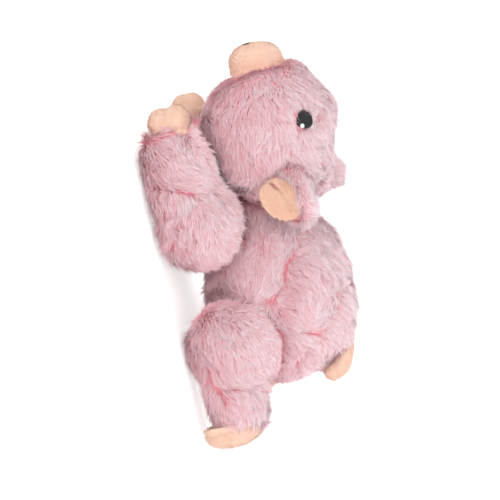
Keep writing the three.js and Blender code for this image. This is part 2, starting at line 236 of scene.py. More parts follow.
def swept(spine: Array, radii: Array, flat: float = 1.0, around: int = 28) -> Shell:
    """Sweeps a round section along a path and closes both ends.

    Args:
        spine: The path's points.
        radii: The section's half height at each point.
        flat: The section's width as a share of its height.
        around: Points in each ring.

    Returns:
        The closed surface.
    """
    ahead = unit(np.gradient(spine, axis=0))
    aside = unit(SIDEWAYS - ahead * ahead[:, 1:2])
    rings = loops(spine, aside, np.cross(ahead, aside), radii * flat, radii, around)
    first, last = len(rings), len(rings) - around
    faces = bands(around, len(spine))
    for j, k in neighbours(around):
        faces += [(first, k, j), (first + 1, last + j, last + k)]
    return Shell(np.vstack([rings, spine[0], spine[-1]]), faces)


@dataclass(frozen=True)
class Stuffed:
    """A form that swells and tapers along a spine.

    Its half sizes are given at the start, the middle and the end.
    """

    start: Triple
    end: Triple
    wide: Triple
    tall: Triple
    fullness: float

    def _axes(self) -> tuple[Array, Array, Array, float]:
        """Lays out the form's own axes.

        Returns:
            The directions along, across and up, and the length.
        """
        spine = np.subtract(self.end, self.start)
        length = float(np.linalg.norm(spine))
        along = spine / length
        across = unit(SIDEWAYS - along * along[1])
        return along, across, np.cross(along, across), length

    def _envelope(self, x: Array, least: float) -> Array:
        """How full the form is, from -1 at its start to 1 at its end."""
        return np.maximum(least, 1 - np.abs(x) ** self.fullness) ** (1 / self.fullness)

    def shell(self, grow: float, around: int = 72, along: int = 44) -> Shell:
        """Makes the form's surface.

        Args:
            grow: How far the whole surface is moved outwards.
            around: Points in each ring.
            along: Bands of faces from tip to tip.

        Returns:
            The closed surface.
        """
        ahead, across, up, length = self._axes()
        ball = unit_ball(around, along)
        x, y, z = ball.points.T
        s = (x + 1) / 2
        ring = np.hypot(y, z)
        stretch = np.where(ring > 1e-6, self._envelope(x, 0) / np.maximum(ring, 1e-6), 0)
        points = (
            np.array(self.start)
            + np.outer(-grow + s * (length + 2 * grow), ahead)
            + np.outer(y * stretch * (between(self.wide, s) + grow), across)
            + np.outer(z * stretch * (between(self.tall, s) + grow), up)
        )
        return Shell(points, ball.faces)

    def holds(self, points: Array, grow: float) -> Array:
        """Tells which points lie in the form.

        Args:
            points: Rows of points.
            grow: How far the surface is moved outwards.

        Returns:
            True for each point inside.
        """
        ahead, across, up, length = self._axes()
        local = points - np.array(self.start)
        s = (local @ ahead + grow) / (length + 2 * grow)
        t = np.clip(s, 0, 1)
        envelope = self._envelope(2 * t - 1, 1e-6)
        y = (local @ across) / (envelope * (between(self.wide, t) + grow))
        z = (local @ up) / (envelope * (between(self.tall, t) + grow))
        return (s > 0) & (s < 1) & (y * y + z * z < 1)


@dataclass(frozen=True)
class Lobe:
    """A rounded lump with its own half size along each axis."""

    centre: Triple
    half: Triple

    def shell(self, grow: float) -> Shell:
        """Makes the lump's surface, moved outwards by grow."""
        ball = unit_ball(72, 44)
        return Shell(ball.points * (np.array(self.half) + grow) + np.array(self.centre), ball.faces)

    def holds(self, points: Array, grow: float) -> Array:
        """Tells which points lie in the lump, grown by grow."""
        local = (points - np.array(self.centre)) / (np.array(self.half) + grow)
        return (local ** 2).sum(1) < 1


def held(forms: "Iterable[Stuffed | Lobe | Leg]", points: Array, grow: float) -> Array:
    """Tells which points lie in any of several forms, grown by grow."""
    return np.any([form.holds(points, grow) for form in forms], 0)


@dataclass(frozen=True)
class Crease:
    """A fold line on the sides of the pig, as points in the side view, along X and Z."""

    line: tuple[Pair, ...]
    depth: float
    width: float
    parting: float = 1.0

    def nearest(self, points: Array) -> tuple[Array, Array]:
        """Finds how far each point is from the line in the side view, and which way it lies.

        Args:
            points: Rows of points.

        Returns:
            The distances, and unit vectors that lead away from the line.
        """
        flat = points[:, [0, 2]]
        best = np.full(len(points), np.inf)
        away = np.zeros((len(points), 3))
        for a, b in zip(self.line, self.line[1:]):
            a, b = np.array(a), np.array(b)
            t = np.clip((flat - a) @ (b - a) / ((b - a) @ (b - a)), 0, 1)
            gap = flat - (a + t[:, None] * (b - a))
            distance = np.linalg.norm(gap, axis=1)
            closer = distance < best
            best = np.where(closer, distance, best)
            lead = gap / np.maximum(distance, 1e-9)[:, None]
            away[closer] = np.stack([lead[closer, 0], np.zeros(closer.sum()), lead[closer, 1]], 1)
        return np.where(points[:, 1] == 0, np.inf, best), away


@dataclass
class Waves:
    """A smooth random field of vectors, the sum of many waves."""

    wavelength: float
    seed: int
    count: int = 14

    def __post_init__(self) -> None:
        """Draws the waves."""
        rng = np.random.default_rng(self.seed)
        self._ways = unit(rng.normal(size=(self.count, 3)))
        self._ways *= 2 * math.pi / self.wavelength * rng.uniform(0.6, 1.5, (self.count, 1))
        self._phases = rng.uniform(0, 2 * math.pi, (self.count, 3))
        self._heights = rng.normal(size=(self.count, 3)) * math.sqrt(2 / self.count)

    def at(self, points: Array) -> Array:
        """The field's vector at each point."""
        angles = (points @ self._ways.T)[:, :, None] + self._phases
        return (np.sin(angles) * self._heights).sum(1)


def ruffled(way: Array | Sequence[float], points: Array, seed: int, *ruffles: Pair) -> Array:
    """Ruffles the way that pile is combed in.

    Args:
        way: The way, for all points or for each.
        points: Where it is wanted.
        seed: Where the random numbers of the first waves start.
        ruffles: The strength and the wavelength of each set of waves.

    Returns:
        The way at each point.
    """
    for i, (strength, wavelength) in enumerate(ruffles):
        way = way + strength * Waves(wavelength, seed + i).at(points)
    return way


def mesh_from(name: str, shell: Shell) -> bpy.types.Mesh:
    """Makes a smooth mesh from a shell.

    Args:
        name: The mesh's name.
        shell: Its points and faces.

    Returns:
        The mesh.
    """
    mesh = bpy.data.meshes.new(name)
    mesh.from_pydata(shell.points.tolist(), [], shell.faces)
    mesh.shade_smooth()
    mesh.update()
    return mesh


def link(name: str, data: bpy.types.ID) -> bpy.types.Object:
    """Puts something in the scene.

    Args:
        name: The object's name.
        data: The mesh, the lamp or the camera.

    Returns:
        The object.
    """
    made = bpy.data.objects.new(name, data)
    bpy.context.scene.collection.objects.link(made)
    return made


def modify(body: bpy.types.Object, kind: str, **settings: object) -> None:
    """Adds a modifier to an object.

    Args:
        body: The object.
        kind: The modifier's type.
        settings: The modifier's own properties.
    """
    modifier = body.modifiers.new(kind.lower(), kind)
    for key, value in settings.items():
        setattr(modifier, key, value)


@dataclass
class Skin:
    """A finished cloth surface that pile can grow from."""

    mesh: bpy.types.Mesh

    @classmethod
    def sculpt(
        cls, name: str, parts: Iterable[Shell], voxel: float, smoothing: int, cutters: Iterable[Shell] = ()
    ) -> "Skin":
        """Fuses overlapping shells into one skin, hollows it for its neighbours and softens it.

        Args:
            name: The mesh's name.
            parts: The closed shells that the skin is made of.
            voxel: How fine the skin is.
            smoothing: How many times it is softened.
            cutters: The closed shells that it gives way to.

        Returns:
            The finished skin.
        """
        body = link(name + "_form", mesh_from(name, joined(parts)))
        modify(body, "REMESH", mode="VOXEL", voxel_size=voxel)
        helpers = [body]
        if cutters:
            cutter = link(name + "_cutter", mesh_from(name, joined(cutters)))
            modify(cutter, "REMESH", mode="VOXEL", voxel_size=voxel)
            modify(body, "BOOLEAN", operation="DIFFERENCE", object=cutter, solver="MANIFOLD")
            modify(body, "REMESH", mode="VOXEL", voxel_size=voxel)
            helpers.append(cutter)
        modify(body, "SMOOTH", factor=0.5, iterations=smoothing)
        graph = bpy.context.evaluated_depsgraph_get()
        graph.update()
        mesh = bpy.data.meshes.new_from_object(body.evaluated_get(graph))
        mesh.name = name
        for helper in helpers:
            bpy.data.objects.remove(helper)
        mesh.shade_smooth()
        return cls(mesh)

    @staticmethod
    def _read(items: bpy.types.bpy_prop_collection, key: str, width: int, kind: type = np.float32) -> Array:
        """Reads one property of each of a mesh's items.

        Args:
            items: The points, the edges, the triangles or the normals.
            key: The property's name.
            width: How many numbers it has.
            kind: The type of those numbers.

        Returns:
            A row for each item.
        """
        found = np.empty(len(items) * width, kind)
        items.foreach_get(key, found)
        return found.reshape(-1, width)

    def points(self) -> Array:
        """The mesh's points."""
        return self._read(self.mesh.vertices, "co", 3).astype(float)

    def normals(self) -> Array:
        """The smooth normal at each point."""
        return self._read(self.mesh.vertex_normals, "vector", 3).astype(float)

    def move_to(self, points: Array) -> None:
        """Moves each point to a new place."""
        self.mesh.vertices.foreach_set("co", points.astype(np.float32).ravel())
        self.mesh.update()

    def fold(self, creases: Iterable[Crease]) -> None:
        """Presses the skin in along its fold lines.

        Args:
            creases: The fold lines.
        """
        points, normals = self.points(), self.normals()
        facing = np.clip(np.abs(normals[:, 1]) * 1.6, 0, 1)
        for crease in creases:
            distance, _ = crease.nearest(points)
            pull = bell(np.minimum(distance, 1.0), crease.width)
            points = points - normals * (crease.depth * pull * facing)[:, None]
        self.move_to(points)

    def wrinkle(self, waves: Waves, depth: float) -> None:
        """Moves the skin in and out a little, as loose filling does."""
        points, normals = self.points(), self.normals()
        self.move_to(points + normals * (depth * waves.at(points)[:, :1]))

    def calm_normals(self, rounds: int) -> Array:
        """Evens the normals out, by averaging each with its neighbours'.

        Args:
            rounds: How many times that is done.

        Returns:
            The normal at each point.
        """
        ends = self._read(self.mesh.edges, "vertices", 2, np.int32)
        normals = self.normals()
        for _ in range(rounds):
            total = normals.copy()
            np.add.at(total, ends[:, 0], normals[ends[:, 1]])
            np.add.at(total, ends[:, 1], normals[ends[:, 0]])
            normals = unit(total)
        return normals

    def scatter(self, density: float, calm: int, rng: np.random.Generator) -> tuple[Array, Array, Array]:
        """Spreads points evenly over the surface.

        Args:
            density: Points for each square metre.
            calm: How many rounds the second set of normals is evened out by.
            rng: Where the random numbers come from.

        Returns:
            The points, the surface's normals there, and the normals evened out.
        """
        points, normals = self.points(), self.normals()
        self.mesh.calc_loop_triangles()
        corners = self._read(self.mesh.loop_triangles, "vertices", 3, np.int32)
        calmed = self.calm_normals(calm)
        a, b, c = (points[corners[:, i]] for i in range(3))
        areas = np.linalg.norm(np.cross(b - a, c - a), axis=1) / 2
        count = int(areas.sum() * density)
        steps = (np.arange(count) + rng.uniform(size=count)) / count
        chosen = np.searchsorted(np.cumsum(areas) / areas.sum(), steps)
        chosen = np.minimum(chosen, len(corners) - 1)
        u, v = rng.uniform(size=(2, count))
        over = u + v > 1
        u, v = np.where(over, 1 - u, u), np.where(over, 1 - v, v)
        weights = np.stack([1 - u - v, u, v], 1)[:, :, None]
        spread = [(values[corners[chosen]] * weights).sum(1) for values in (points, normals, calmed)]
        return spread[0], unit(spread[1]), unit(spread[2])


@dataclass(frozen=True)
class Pile:
    """How the fibres of a cloth stand: their sizes, how they lean and how they gather in tufts.

    Each uneven pair says how much a measure varies from tuft to tuft and from fibre to fibre.
    """

    length: float = 9.0 * MM
    density: float = 3.5e6
    width: float = 0.42 * MM
    taper: float = 0.4
    rise: float = 0.33
    lay: float = 0.9
    stray: float = 0.12
    swirl: float = 0.15
    tuft: float = 2.4 * MM
    gather: float = 0.12
    roll: float = 0.25
    calm: int = 24
    loose: float = 0.1
    loose_rise: float = 0.35
    tilt: float = 0.3
    levels: Pair = (0.0, 0.5)
    uneven_length: Pair = (0.06, 0.14)
    uneven_rise: Pair = (0.16, 0.25)
    uneven_tone: Pair = (0.06, 0.13)
    shortest: float = 0.25
    longest: float = 1.5
    root_depth: float = 0.6 * MM


NAP = Pile(
    length=1.3 * MM, density=2.6e6, width=0.2 * MM, rise=0.75, lay=0.5, stray=0.3, swirl=0.4,
    tuft=2.0 * MM, gather=0.1, roll=0.8, calm=0,
)
NAP_SEED = 91
NAP_TONE = 0.4
UPRIGHT_RISE = 0.85
UPRIGHT_SPREAD = 2.2
TRIMMINGS = 4
TONE_STEPS = 24
SOFTNESS = 0.94
MAP_HALF_WIDTH = 0.36
MAP_START = 0.04
MAP_HEIGHT = 0.92


@dataclass
class Coat:
    """Where pile grows on a skin, which way it lies and what it keeps clear of."""

    flow: Field
    scale: Field
    tone: Field
    clear_of: Test
    creases: tuple[Crease, ...] = ()
    upright: Field | None = None

    def lean(self, points: Array, normals: Array) -> Array:
        """Finds the way that the pile is combed in, parted at the fold lines.

        Args:
            points: The roots of the pile.
            normals: The cloth's normals there.

        Returns:
            A unit vector along the surface at each root.
        """
        way = unit(self.flow(points, normals))
        for crease in self.creases:
            distance, away = crease.nearest(points)
            near = bell(np.minimum(distance, 1.0), crease.width * 1.3)
            way = way + away * (0.9 * crease.parting * near)[:, None]
        return unit(way - normals * (way * normals).sum(1, keepdims=True))


def grow_pile(
    name: str, skin: Skin, pile: Pile, coat: Coat, seed: int, panels: int = 1
) -> list[bpy.types.Mesh]:
    """Grows the fibres of a cloth as fine tapered blades.

    Args:
        name: The piece's name.
        skin: The surface that they grow from.
        pile: Their sizes.
        coat: Where and which way they grow.
        seed: Where the random numbers start.
        panels: How many pieces the pile is in, as the cloth is cut.

    Returns:
        The meshes, with a map that holds each fibre's tone across and its length upwards.
    """
    rng = np.random.default_rng(seed)
    roots, normals, calmed = skin.scatter(pile.density, pile.calm, rng)
    scale = coat.scale(roots, normals)
    kept = scale > 0.02
    roots, normals, calmed, scale = roots[kept], normals[kept], calmed[kept], scale[kept]
    count = len(roots)
    way = combed = coat.lean(roots, normals)

    tuft_count = max(4, int(count / (pile.density * pile.tuft ** 2)))
    heads = rng.choice(count, tuft_count, replace=False)
    tree = KDTree(tuft_count)
    for i, head in enumerate(heads):
        tree.insert(roots[head], i)
    tree.balance()
    owner = np.array([tree.find(root)[1] for root in roots])

    def uneven(value: Array | float, spread: Pair) -> Array:
        """Varies a value from tuft to tuft and from fibre to fibre."""
        return value + spread[0] * rng.normal(size=tuft_count)[owner] + spread[1] * rng.normal(size=count)

    turn = (rng.normal(0, pile.swirl, tuft_count)[owner] + rng.normal(0, pile.stray, count))[:, None]
    way = way * np.cos(turn) + np.cross(normals, way) * np.sin(turn)
    reach = pile.length * scale * uneven(1, pile.uneven_length)
    least, most = (share * pile.length * scale for share in (pile.shortest, pile.longest))
    reach = np.clip(reach, least, most)[:, None]
    upright = np.zeros(count) if coat.upright is None else coat.upright(roots, normals)
    outwards = UPRIGHT_SPREAD * upright[:, None] * np.sign(roots[:, 1:2]) * SIDEWAYS
    calmed = unit(calmed + outwards - pile.tilt * combed)
    stand = pile.rise * uneven(1, pile.uneven_rise)
    stand = stand + pile.loose_rise * (rng.uniform(size=count) < pile.loose)
    stand = (stand + upright * (UPRIGHT_RISE - stand))[:, None]
    lay = pile.lay * (1 - 0.6 * upright)[:, None]
    stray = rng.normal(0, pile.stray, (count, 3))
    tips = roots + reach * (0.85 * stand * normals + lay * way + stray)
    knees = roots + reach * (stand * normals + 0.25 * lay * way + 0.5 * stray)
    pull = (pile.gather * rng.uniform(0.55, 1.2, count))[:, None]
    spread = 0.3 * (roots - roots[heads][owner])
    tips = tips + pull * (tips[heads][owner] + spread - tips)
    knees = knees + 0.3 * pull * (knees[heads][owner] + 2 * spread - knees)

    for _ in range(TRIMMINGS):
        blocked = (coat.clear_of(tips) | coat.clear_of(0.5 * (tips + knees)))[:, None]
        tips = np.where(blocked, roots + 0.6 * (tips - roots), tips)
        knees = np.where(blocked, roots + 0.7 * (knees - roots), knees)
    starts = roots - normals * pile.root_depth
    levels = np.array(pile.levels)
    sizes = pile.width / 2 * np.sqrt(scale)[:, None] * (1 - pile.taper * levels)
    tone = uneven(coat.tone(roots, normals), pile.uneven_tone)
    roll = rng.normal(0, pile.roll, count)
    tone = np.clip(tone, 0, 0.999)
    centre = roots.mean(0)
    turns = np.arctan2(roots[:, 1] - centre[1], roots[:, 2] - centre[2])
    meshes = []
    for i, chosen in enumerate(np.array_split(np.argsort(turns, kind="stable"), panels)):
        path = (starts[chosen], knees[chosen], tips[chosen])
        label = f"{name}_{i + 1}" if panels > 1 else name
        mesh = fibre_mesh(label, path, calmed[chosen], roll[chosen], sizes[chosen], levels, tone[chosen])
        LOG.info("%s: %d fibres, %d faces", label, len(chosen), len(mesh.polygons))
        meshes.append(mesh)
    return meshes


def fibre_mesh(
    name: str,
    path: tuple[Array, Array, Array],
    normals: Array,
    roll: Array,
    sizes: Array,
    levels: Array,
    tone: Array,
) -> bpy.types.Mesh:
    """Builds the mesh of many fibres at once, each a flat tapered blade.

    Args:
        name: The mesh's name.
        path: The start, the bend and the tip of each fibre.
        normals: The cloth's normal at each root.
        roll: How far each blade is turned about its own length.
        sizes: Half the width at each level of each fibre.
        levels: Where the crosswise pairs of points are, from 0 at the root to below 1.
        tone: How deep the colour of each fibre is, from 0 to below 1.

    Returns:
        The mesh, with its map.
    """
    starts, knees, tips = path
    count, rings = len(starts), len(levels)
    corners = 2 * rings + 1
    points = np.empty((count, corners, 3), np.float32)
    facing = np.empty((count, corners, 3), np.float32)
    for ring, t in enumerate(levels):
        centre = (1 - t) ** 2 * starts + 2 * t * (1 - t) * knees + t ** 2 * tips
        ahead = unit(2 * (1 - t) * (knees - starts) + 2 * t * (tips - knees))
        side = unit(np.cross(normals, ahead) + 1e-5)
        above = np.cross(ahead, side)
        across = side * np.cos(roll)[:, None] + above * np.sin(roll)[:, None]
        half = across * sizes[:, ring:ring + 1]
        points[:, 2 * ring], points[:, 2 * ring + 1] = centre - half, centre + half
        shaded = unit(SOFTNESS * normals + (1 - SOFTNESS) * np.cross(ahead, across))
        facing[:, 2 * ring:2 * ring + 2] = shaded[:, None]
    points[:, -1] = tips
    facing[:, -1] = facing[:, -2]
    points[:, :, 2] = np.maximum(points[:, :, 2], FLOOR_CLEARANCE)

    blades = []
    for here in range(0, 2 * rings - 2, 2):
        blades += [(here, here + 2, here + 3), (here, here + 3, here + 1)]
    pattern = np.array(blades + [(2 * rings - 2, 2 * rings, 2 * rings - 1)])
    faces = (pattern[None] + (np.arange(count) * corners)[:, None, None]).reshape(-1)

    column = (np.floor(tone * TONE_STEPS) + 0.5) / TONE_STEPS
    across_map = np.array([*(np.tile([-MAP_HALF_WIDTH, MAP_HALF_WIDTH], rings) / TONE_STEPS), 0.0])
    up_map = np.array([*np.repeat(levels, 2), 1.0]) * MAP_HEIGHT + MAP_START
    places = np.empty((count, pattern.size, 2), np.float32)
    places[:, :, 0] = column[:, None] + across_map[pattern.ravel()][None]
    places[:, :, 1] = up_map[pattern.ravel()][None]

    mesh = bpy.data.meshes.new(name)
    mesh.vertices.add(count * corners)
    mesh.vertices.foreach_set("co", points.ravel())
    mesh.loops.add(len(faces))
    mesh.loops.foreach_set("vertex_index", faces.astype(np.int32))
    mesh.polygons.add(len(faces) // 3)
    mesh.polygons.foreach_set("loop_start", np.arange(0, len(faces), 3, dtype=np.int32))
    mesh.update(calc_edges=True)
    mesh.uv_layers.new(name="OFBake").data.foreach_set("uv", places.ravel())
    mesh.shade_smooth()
    own_normals = mesh.attributes.new("custom_normal", "FLOAT_VECTOR", "POINT")
    own_normals.data.foreach_set("vector", facing.ravel())
    return mesh


class Graph:
    """Lays out the nodes of one shader tree."""

    def __init__(self, tree: bpy.types.NodeTree) -> None:
        """Starts with an empty tree."""
        self.tree = tree
        tree.nodes.clear()

    @staticmethod
    def put(node: bpy.types.Node, **settings: object) -> bpy.types.Node:
        """Sets a node's properties and the values of its sockets.

        Args:
            node: The node.
            settings: Properties, or values of sockets, whose spaces are written as underscores.

        Returns:
            The node.
        """
        sockets = {socket.name.replace(" ", "_"): socket for socket in reversed(node.inputs)}
        for key, value in settings.items():
            if key in sockets:
                sockets[key].default_value = value
            else:
                setattr(node, key, value)
        return node

    def add(self, kind: str, **settings: object) -> bpy.types.Node:
        """Adds a node with its settings."""
        return self.put(self.tree.nodes.new(kind), **settings)

    def join(self, source: bpy.types.Node, out: str | int, target: bpy.types.Node, into: str | int) -> None:
        """Links one node's output to another's input."""
        self.tree.links.new(source.outputs[out], target.inputs[into])

    def seen(self) -> bpy.types.Node:
        """Adds a value that is 1 for camera and glossy rays and 0 for others.

        Returns:
            The node with that value.
        """
        ray = self.add("ShaderNodeLightPath")
        either = self.add("ShaderNodeMath", operation="MAXIMUM")
        self.join(ray, "Is Camera Ray", either, 0)
        self.join(ray, "Is Glossy Ray", either, 1)
        return either


class Nodes(Graph):
    """Lays out the nodes of one material."""

    def __init__(self, name: str) -> None:
        """Starts a material with only its surface and its output.

        Args:
            name: The material's name.
        """
        self.material = bpy.data.materials.new(name)
        self.material.use_nodes = True
        super().__init__(self.material.node_tree)
        self.surface = self.add("ShaderNodeBsdfPrincipled")
        self.join(self.surface, "BSDF", self.add("ShaderNodeOutputMaterial"), "Surface")

    def mix(self, low: Colour, high: Colour, source: bpy.types.Node, out: str) -> bpy.types.Node:
        """Adds a mix of two colours, by a node's value.

        Args:
            low: The colour where the value is 0.
            high: The colour where it is 1.
            source: The node with the value.
            out: That node's output.

        Returns:
            The mix node.
        """
        node = self.add("ShaderNodeMix", data_type="RGBA")
        node.inputs[6].default_value, node.inputs[7].default_value = linear(low), linear(high)
        self.join(source, out, node, "Factor")
        return node

    def noise(self, scale: float, detail: float, stretch: Triple = (1, 1, 1)) -> bpy.types.Node:
        """Adds a noise that is fixed to the piece.

        Args:
            scale: Lumps for each metre.
            detail: How many finer layers it has.
            stretch: How much closer together the lumps are along each axis.

        Returns:
            The noise node.
        """
        grid = self.add("ShaderNodeMapping", Scale=stretch)
        self.join(self.add("ShaderNodeTexCoord"), "Object", grid, "Vector")
        node = self.add("ShaderNodeTexNoise", Scale=scale, Detail=detail, Roughness=0.6)
        self.join(grid, "Vector", node, "Vector")
        return node

    def bump(self, source: bpy.types.Node, strength: float, distance: float) -> None:
        """Raises the surface by a noise.

        Args:
            source: The noise node.
            strength: How strongly it shows.
            distance: How high the bumps are.
        """
        node = self.add("ShaderNodeBump", Strength=strength, Distance=distance)
        self.join(source, "Fac", node, "Height")
        self.join(node, "Normal", self.surface, "Normal")


@dataclass(frozen=True)
class PileFinish:
    """Fibres that are pale at the tip and deeper at the root, a painted shade low in the pile; their tone
    across mixes random variation with painted light and shade.
    """

    name: str = "pink_pile"
    root_pale: Colour = (253, 188, 198)
    root_deep: Colour = (254, 122, 140)
    tip_pale: Colour = (250, 244, 247)
    tip_deep: Colour = (254, 156, 170)

    def material(self) -> bpy.types.Material:
        """Makes the material, which reads tone and length from the fibres' map.

        Returns:
            The material.
        """
        nodes = Nodes(self.name)
        split = nodes.add("ShaderNodeSeparateXYZ")
        nodes.join(nodes.add("ShaderNodeUVMap", uv_map="OFBake"), "UV", split, "Vector")
        # Painted shade: the colour deepens from the tip towards the root.
        rise = nodes.add("ShaderNodeMapRange", interpolation_type="SMOOTHSTEP", From_Min=0.05, From_Max=0.75)
        nodes.join(split, "Y", rise, "Value")
        blend = nodes.add("ShaderNodeMix", data_type="RGBA")
        nodes.join(rise, "Result", blend, "Factor")
        nodes.join(nodes.mix(self.root_pale, self.root_deep, split, "X"), 2, blend, 6)
        nodes.join(nodes.mix(self.tip_pale, self.tip_deep, split, "X"), 2, blend, 7)
        nodes.join(blend, 2, nodes.surface, "Base Color")
        nodes.put(nodes.surface, Roughness=0.85, Specular_IOR_Level=0.15)
        nodes.put(nodes.surface, Sheen_Weight=0.25, Sheen_Roughness=0.5)
        return nodes.material


@dataclass(frozen=True)
class Grain:
    """A noise: its lumps for each metre, its finer layers and its stretch."""

    scale: float
    detail: float
    stretch: Triple = (1, 1, 1)


@dataclass(frozen=True)
class Finish:
    """A knit, thread, filling or plastic, mottled between two colours and finely bumped."""

    name: str
    pale: Colour
    deep: Colour
    mottle: Grain
    bump: float
    bump_height: float
    roughness: float
    specular: float = 0.5
    relief: Grain | None = None

    def tint(self, nodes: Nodes, grain: bpy.types.Node) -> bpy.types.Node:
        """Adds the colour, from the mottle's grain."""
        return nodes.mix(self.pale, self.deep, grain, "Fac")

    def material(self) -> bpy.types.Material:
        """Makes the material.

        Returns:
            The material.
        """
        nodes = Nodes(self.name)
        grain, relief = (
            nodes.noise(g.scale, g.detail, g.stretch) for g in (self.mottle, self.relief or self.mottle)
        )
        nodes.join(self.tint(nodes, grain), 2, nodes.surface, "Base Color")
        nodes.put(nodes.surface, Roughness=self.roughness, Specular_IOR_Level=self.specular)
        nodes.bump(relief, self.bump, self.bump_height)
        return nodes.material


@dataclass(frozen=True)
class NapFinish(Finish):
    """Short velvety nap, streaked where it has been stroked."""

    streak: Grain = Grain(900, 3, (0.35, 1, 1))

    def tint(self, nodes: Nodes, grain: bpy.types.Node) -> bpy.types.Node:
        """Adds the colour, from the mottle's grain and the streaks, and the sheen.

        Args:
            nodes: The material's nodes.
            grain: The mottle's grain.

        Returns:
            The node with the colour.
        """
        both = nodes.add("ShaderNodeMath", operation="MULTIPLY_ADD")
        both.inputs[1].default_value = 0.45
        nodes.join(nodes.noise(self.streak.scale, self.streak.detail, self.streak.stretch), "Fac", both, 0)
        nodes.join(grain, "Fac", both, 2)
        spread = nodes.add("ShaderNodeMapRange", From_Min=0.5, From_Max=0.95)
        nodes.join(both, "Value", spread, "Value")
        nodes.put(nodes.surface, Sheen_Weight=0.35, Sheen_Roughness=0.4)
        return nodes.mix(self.pale, self.deep, spread, "Result")


@dataclass(frozen=True)
class Stuff:
    """A material with its slot in the record."""

    material: bpy.types.Material
    slot: str


class Wardrobe:
    """Every material of the toy, made once."""

    def __init__(self) -> None:
        """Makes the materials."""

        def nap(name: str, pale: Colour, deep: Colour) -> Stuff:
            """Nap cloth of one colour."""
            finish = NapFinish(
                name, pale, deep, mottle=Grain(190, 4), relief=Grain(2600, 2), bump=0.55,
                bump_height=0.35 * MM, roughness=0.9, specular=0.12,
            )
            return Stuff(finish.material(), "nap_cloth")

        def thread(name: str, pale: Colour, deep: Colour) -> Stuff:
            """Thread of one colour."""
            finish = Finish(
                name, pale, deep, mottle=Grain(3500, 2), bump=0.4, bump_height=0.15 * MM, roughness=0.48,
                specular=0.4,
            )
            return Stuff(finish.material(), name)

        backing = Finish(
            "pink_backing", (255, 172, 184), (254, 154, 168), mottle=Grain(260, 3), relief=Grain(1500, 2),
            bump=0.5, bump_height=0.4 * MM, roughness=0.95, specular=0.1,
        )
        filling = Finish(
            "white_filling", (250, 249, 245), (228, 225, 218), mottle=Grain(420, 6, (1, 0.4, 1)), bump=0.8,
            bump_height=1.2 * MM, roughness=1.0,
        )
        squeaker = Finish(
            "squeaker_plastic", (238, 241, 241), (222, 227, 228), mottle=Grain(700, 2), bump=0.15,
            bump_height=0.1 * MM, roughness=0.38,
        )
        # Painted shade: the fuzz is deeper at its roots than at its tips.
        fuzz = PileFinish(
            "peach_nap_fibre", root_pale=(252, 206, 184), root_deep=(247, 194, 170), tip_pale=(255, 232, 216),
            tip_deep=(252, 216, 196),
        )
        self.pile = Stuff(PileFinish().material(), "pile_cloth")
        self.backing = Stuff(backing.material(), "pile_cloth")
        self.nap = nap("peach_nap", (244, 214, 194), (237, 196, 173))
        self.lining = nap("peach_lining", (238, 200, 177), (228, 180, 155))
        self.nap_fibre = Stuff(fuzz.material(), "nap_cloth")
        self.black = thread("black_thread", (16, 15, 16), (38, 36, 38))
        self.white = thread("white_thread", (244, 244, 244), (226, 226, 228))
        self.filling = Stuff(filling.material(), "stuffing")
        self.squeaker = Stuff(squeaker.material(), "squeaker_plastic")

    def finish_nodes(self) -> None:
        """Gives each carried-over node the material of what it is."""
        kinds = {
            "stuffing": self.filling, "squeaker": self.squeaker, "glint": self.white, "eye": self.black,
            "nostril": self.black, "ear_back": self.backing,
        }
        for name, node in frame["nodes"].items():
            stuff = next((kinds[word] for word in kinds if word in name), self.nap)
            node.data.materials.clear()
            node.data.materials.append(stuff.material)


@dataclass
class Tailor:
    """Sews the pieces of one moving body of the toy."""

    body: str
    wardrobe: Wardrobe

    def add(self, name: str, mesh: bpy.types.Mesh, stuff: Stuff, node: str = "") -> bpy.types.Object:
        """Adds a piece, with its material and its body.

        Args:
            name: The piece's name.
            mesh: Its shape.
            stuff: What it is made of.
            node: The frame's node that it stands for, if it stands for one.

        Returns:
            The piece.
        """
        piece = link(name, mesh)
        mesh.materials.clear()
        mesh.materials.append(stuff.material)
        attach(piece, self.body)
        if node:
            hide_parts(node)
        return piece

    def pad(self, name: str, skin: Skin, stuff: Stuff, node: str, fill: float, filling: str = "") -> None:
        """Adds a stuffed cloth, and the loose fibre just inside it where the frame has a node for that.

        Args:
            name: The name that the pieces' names start with.
            skin: The cloth.
            stuff: What it is made of.
            node: The frame's node that the cloth stands for.
            fill: How full it is stuffed; not used.
            filling: The frame's node that the loose fibre stands for.
        """
        cloth = self.add(name + "_cloth", skin.mesh, stuff, node)
        if filling:
            inner = Skin(skin.mesh.copy())
            inner.mesh.name = name + "_filling"
            inner.move_to(skin.points() - skin.normals() * FILLING_DEPTH)
            self.add(inner.mesh.name, inner.mesh, self.wardrobe.filling, filling)

    def grow(self, name: str, skin: Skin, coat: Coat, seed: int, panels: int = 1) -> None:
        """Adds the long pile of a cloth."""
        for mesh in grow_pile(name + "_pile", skin, Pile(), coat, seed, panels):
            self.add(mesh.name, mesh, self.wardrobe.pile)

    def nap(self, name: str, skin: Skin, bare: Test) -> None:
        """Adds the short fuzz of nap cloth.

        Args:
            name: The name that the piece's name starts with.
            skin: The cloth.
            bare: Tells which roots have no fuzz.
        """
        coat = Coat(
            flow=lambda points, normals: ruffled([1.0, 0.1, -0.2], points, NAP_SEED, (1.0, 0.02)),
            scale=lambda points, normals: np.where(bare(points), 0.0, 1.0),
            tone=lambda points, normals: np.full(len(points), NAP_TONE),
            clear_of=lambda points: np.zeros(len(points), bool),
        )
        for mesh in grow_pile(name + "_nap", skin, NAP, coat, NAP_SEED):
            self.add(mesh.name, mesh, self.wardrobe.nap_fibre)


def middle(node: str) -> Array:
    """The middle of a node's box."""
    low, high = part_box(node)
    return (np.array(low) + np.array(high)) / 2


def hinge(name: str) -> Array:
    """Where a joint turns."""
    return np.array(next(joint["pos_m"] for joint in frame["joints"] if joint["name"] == name), float)


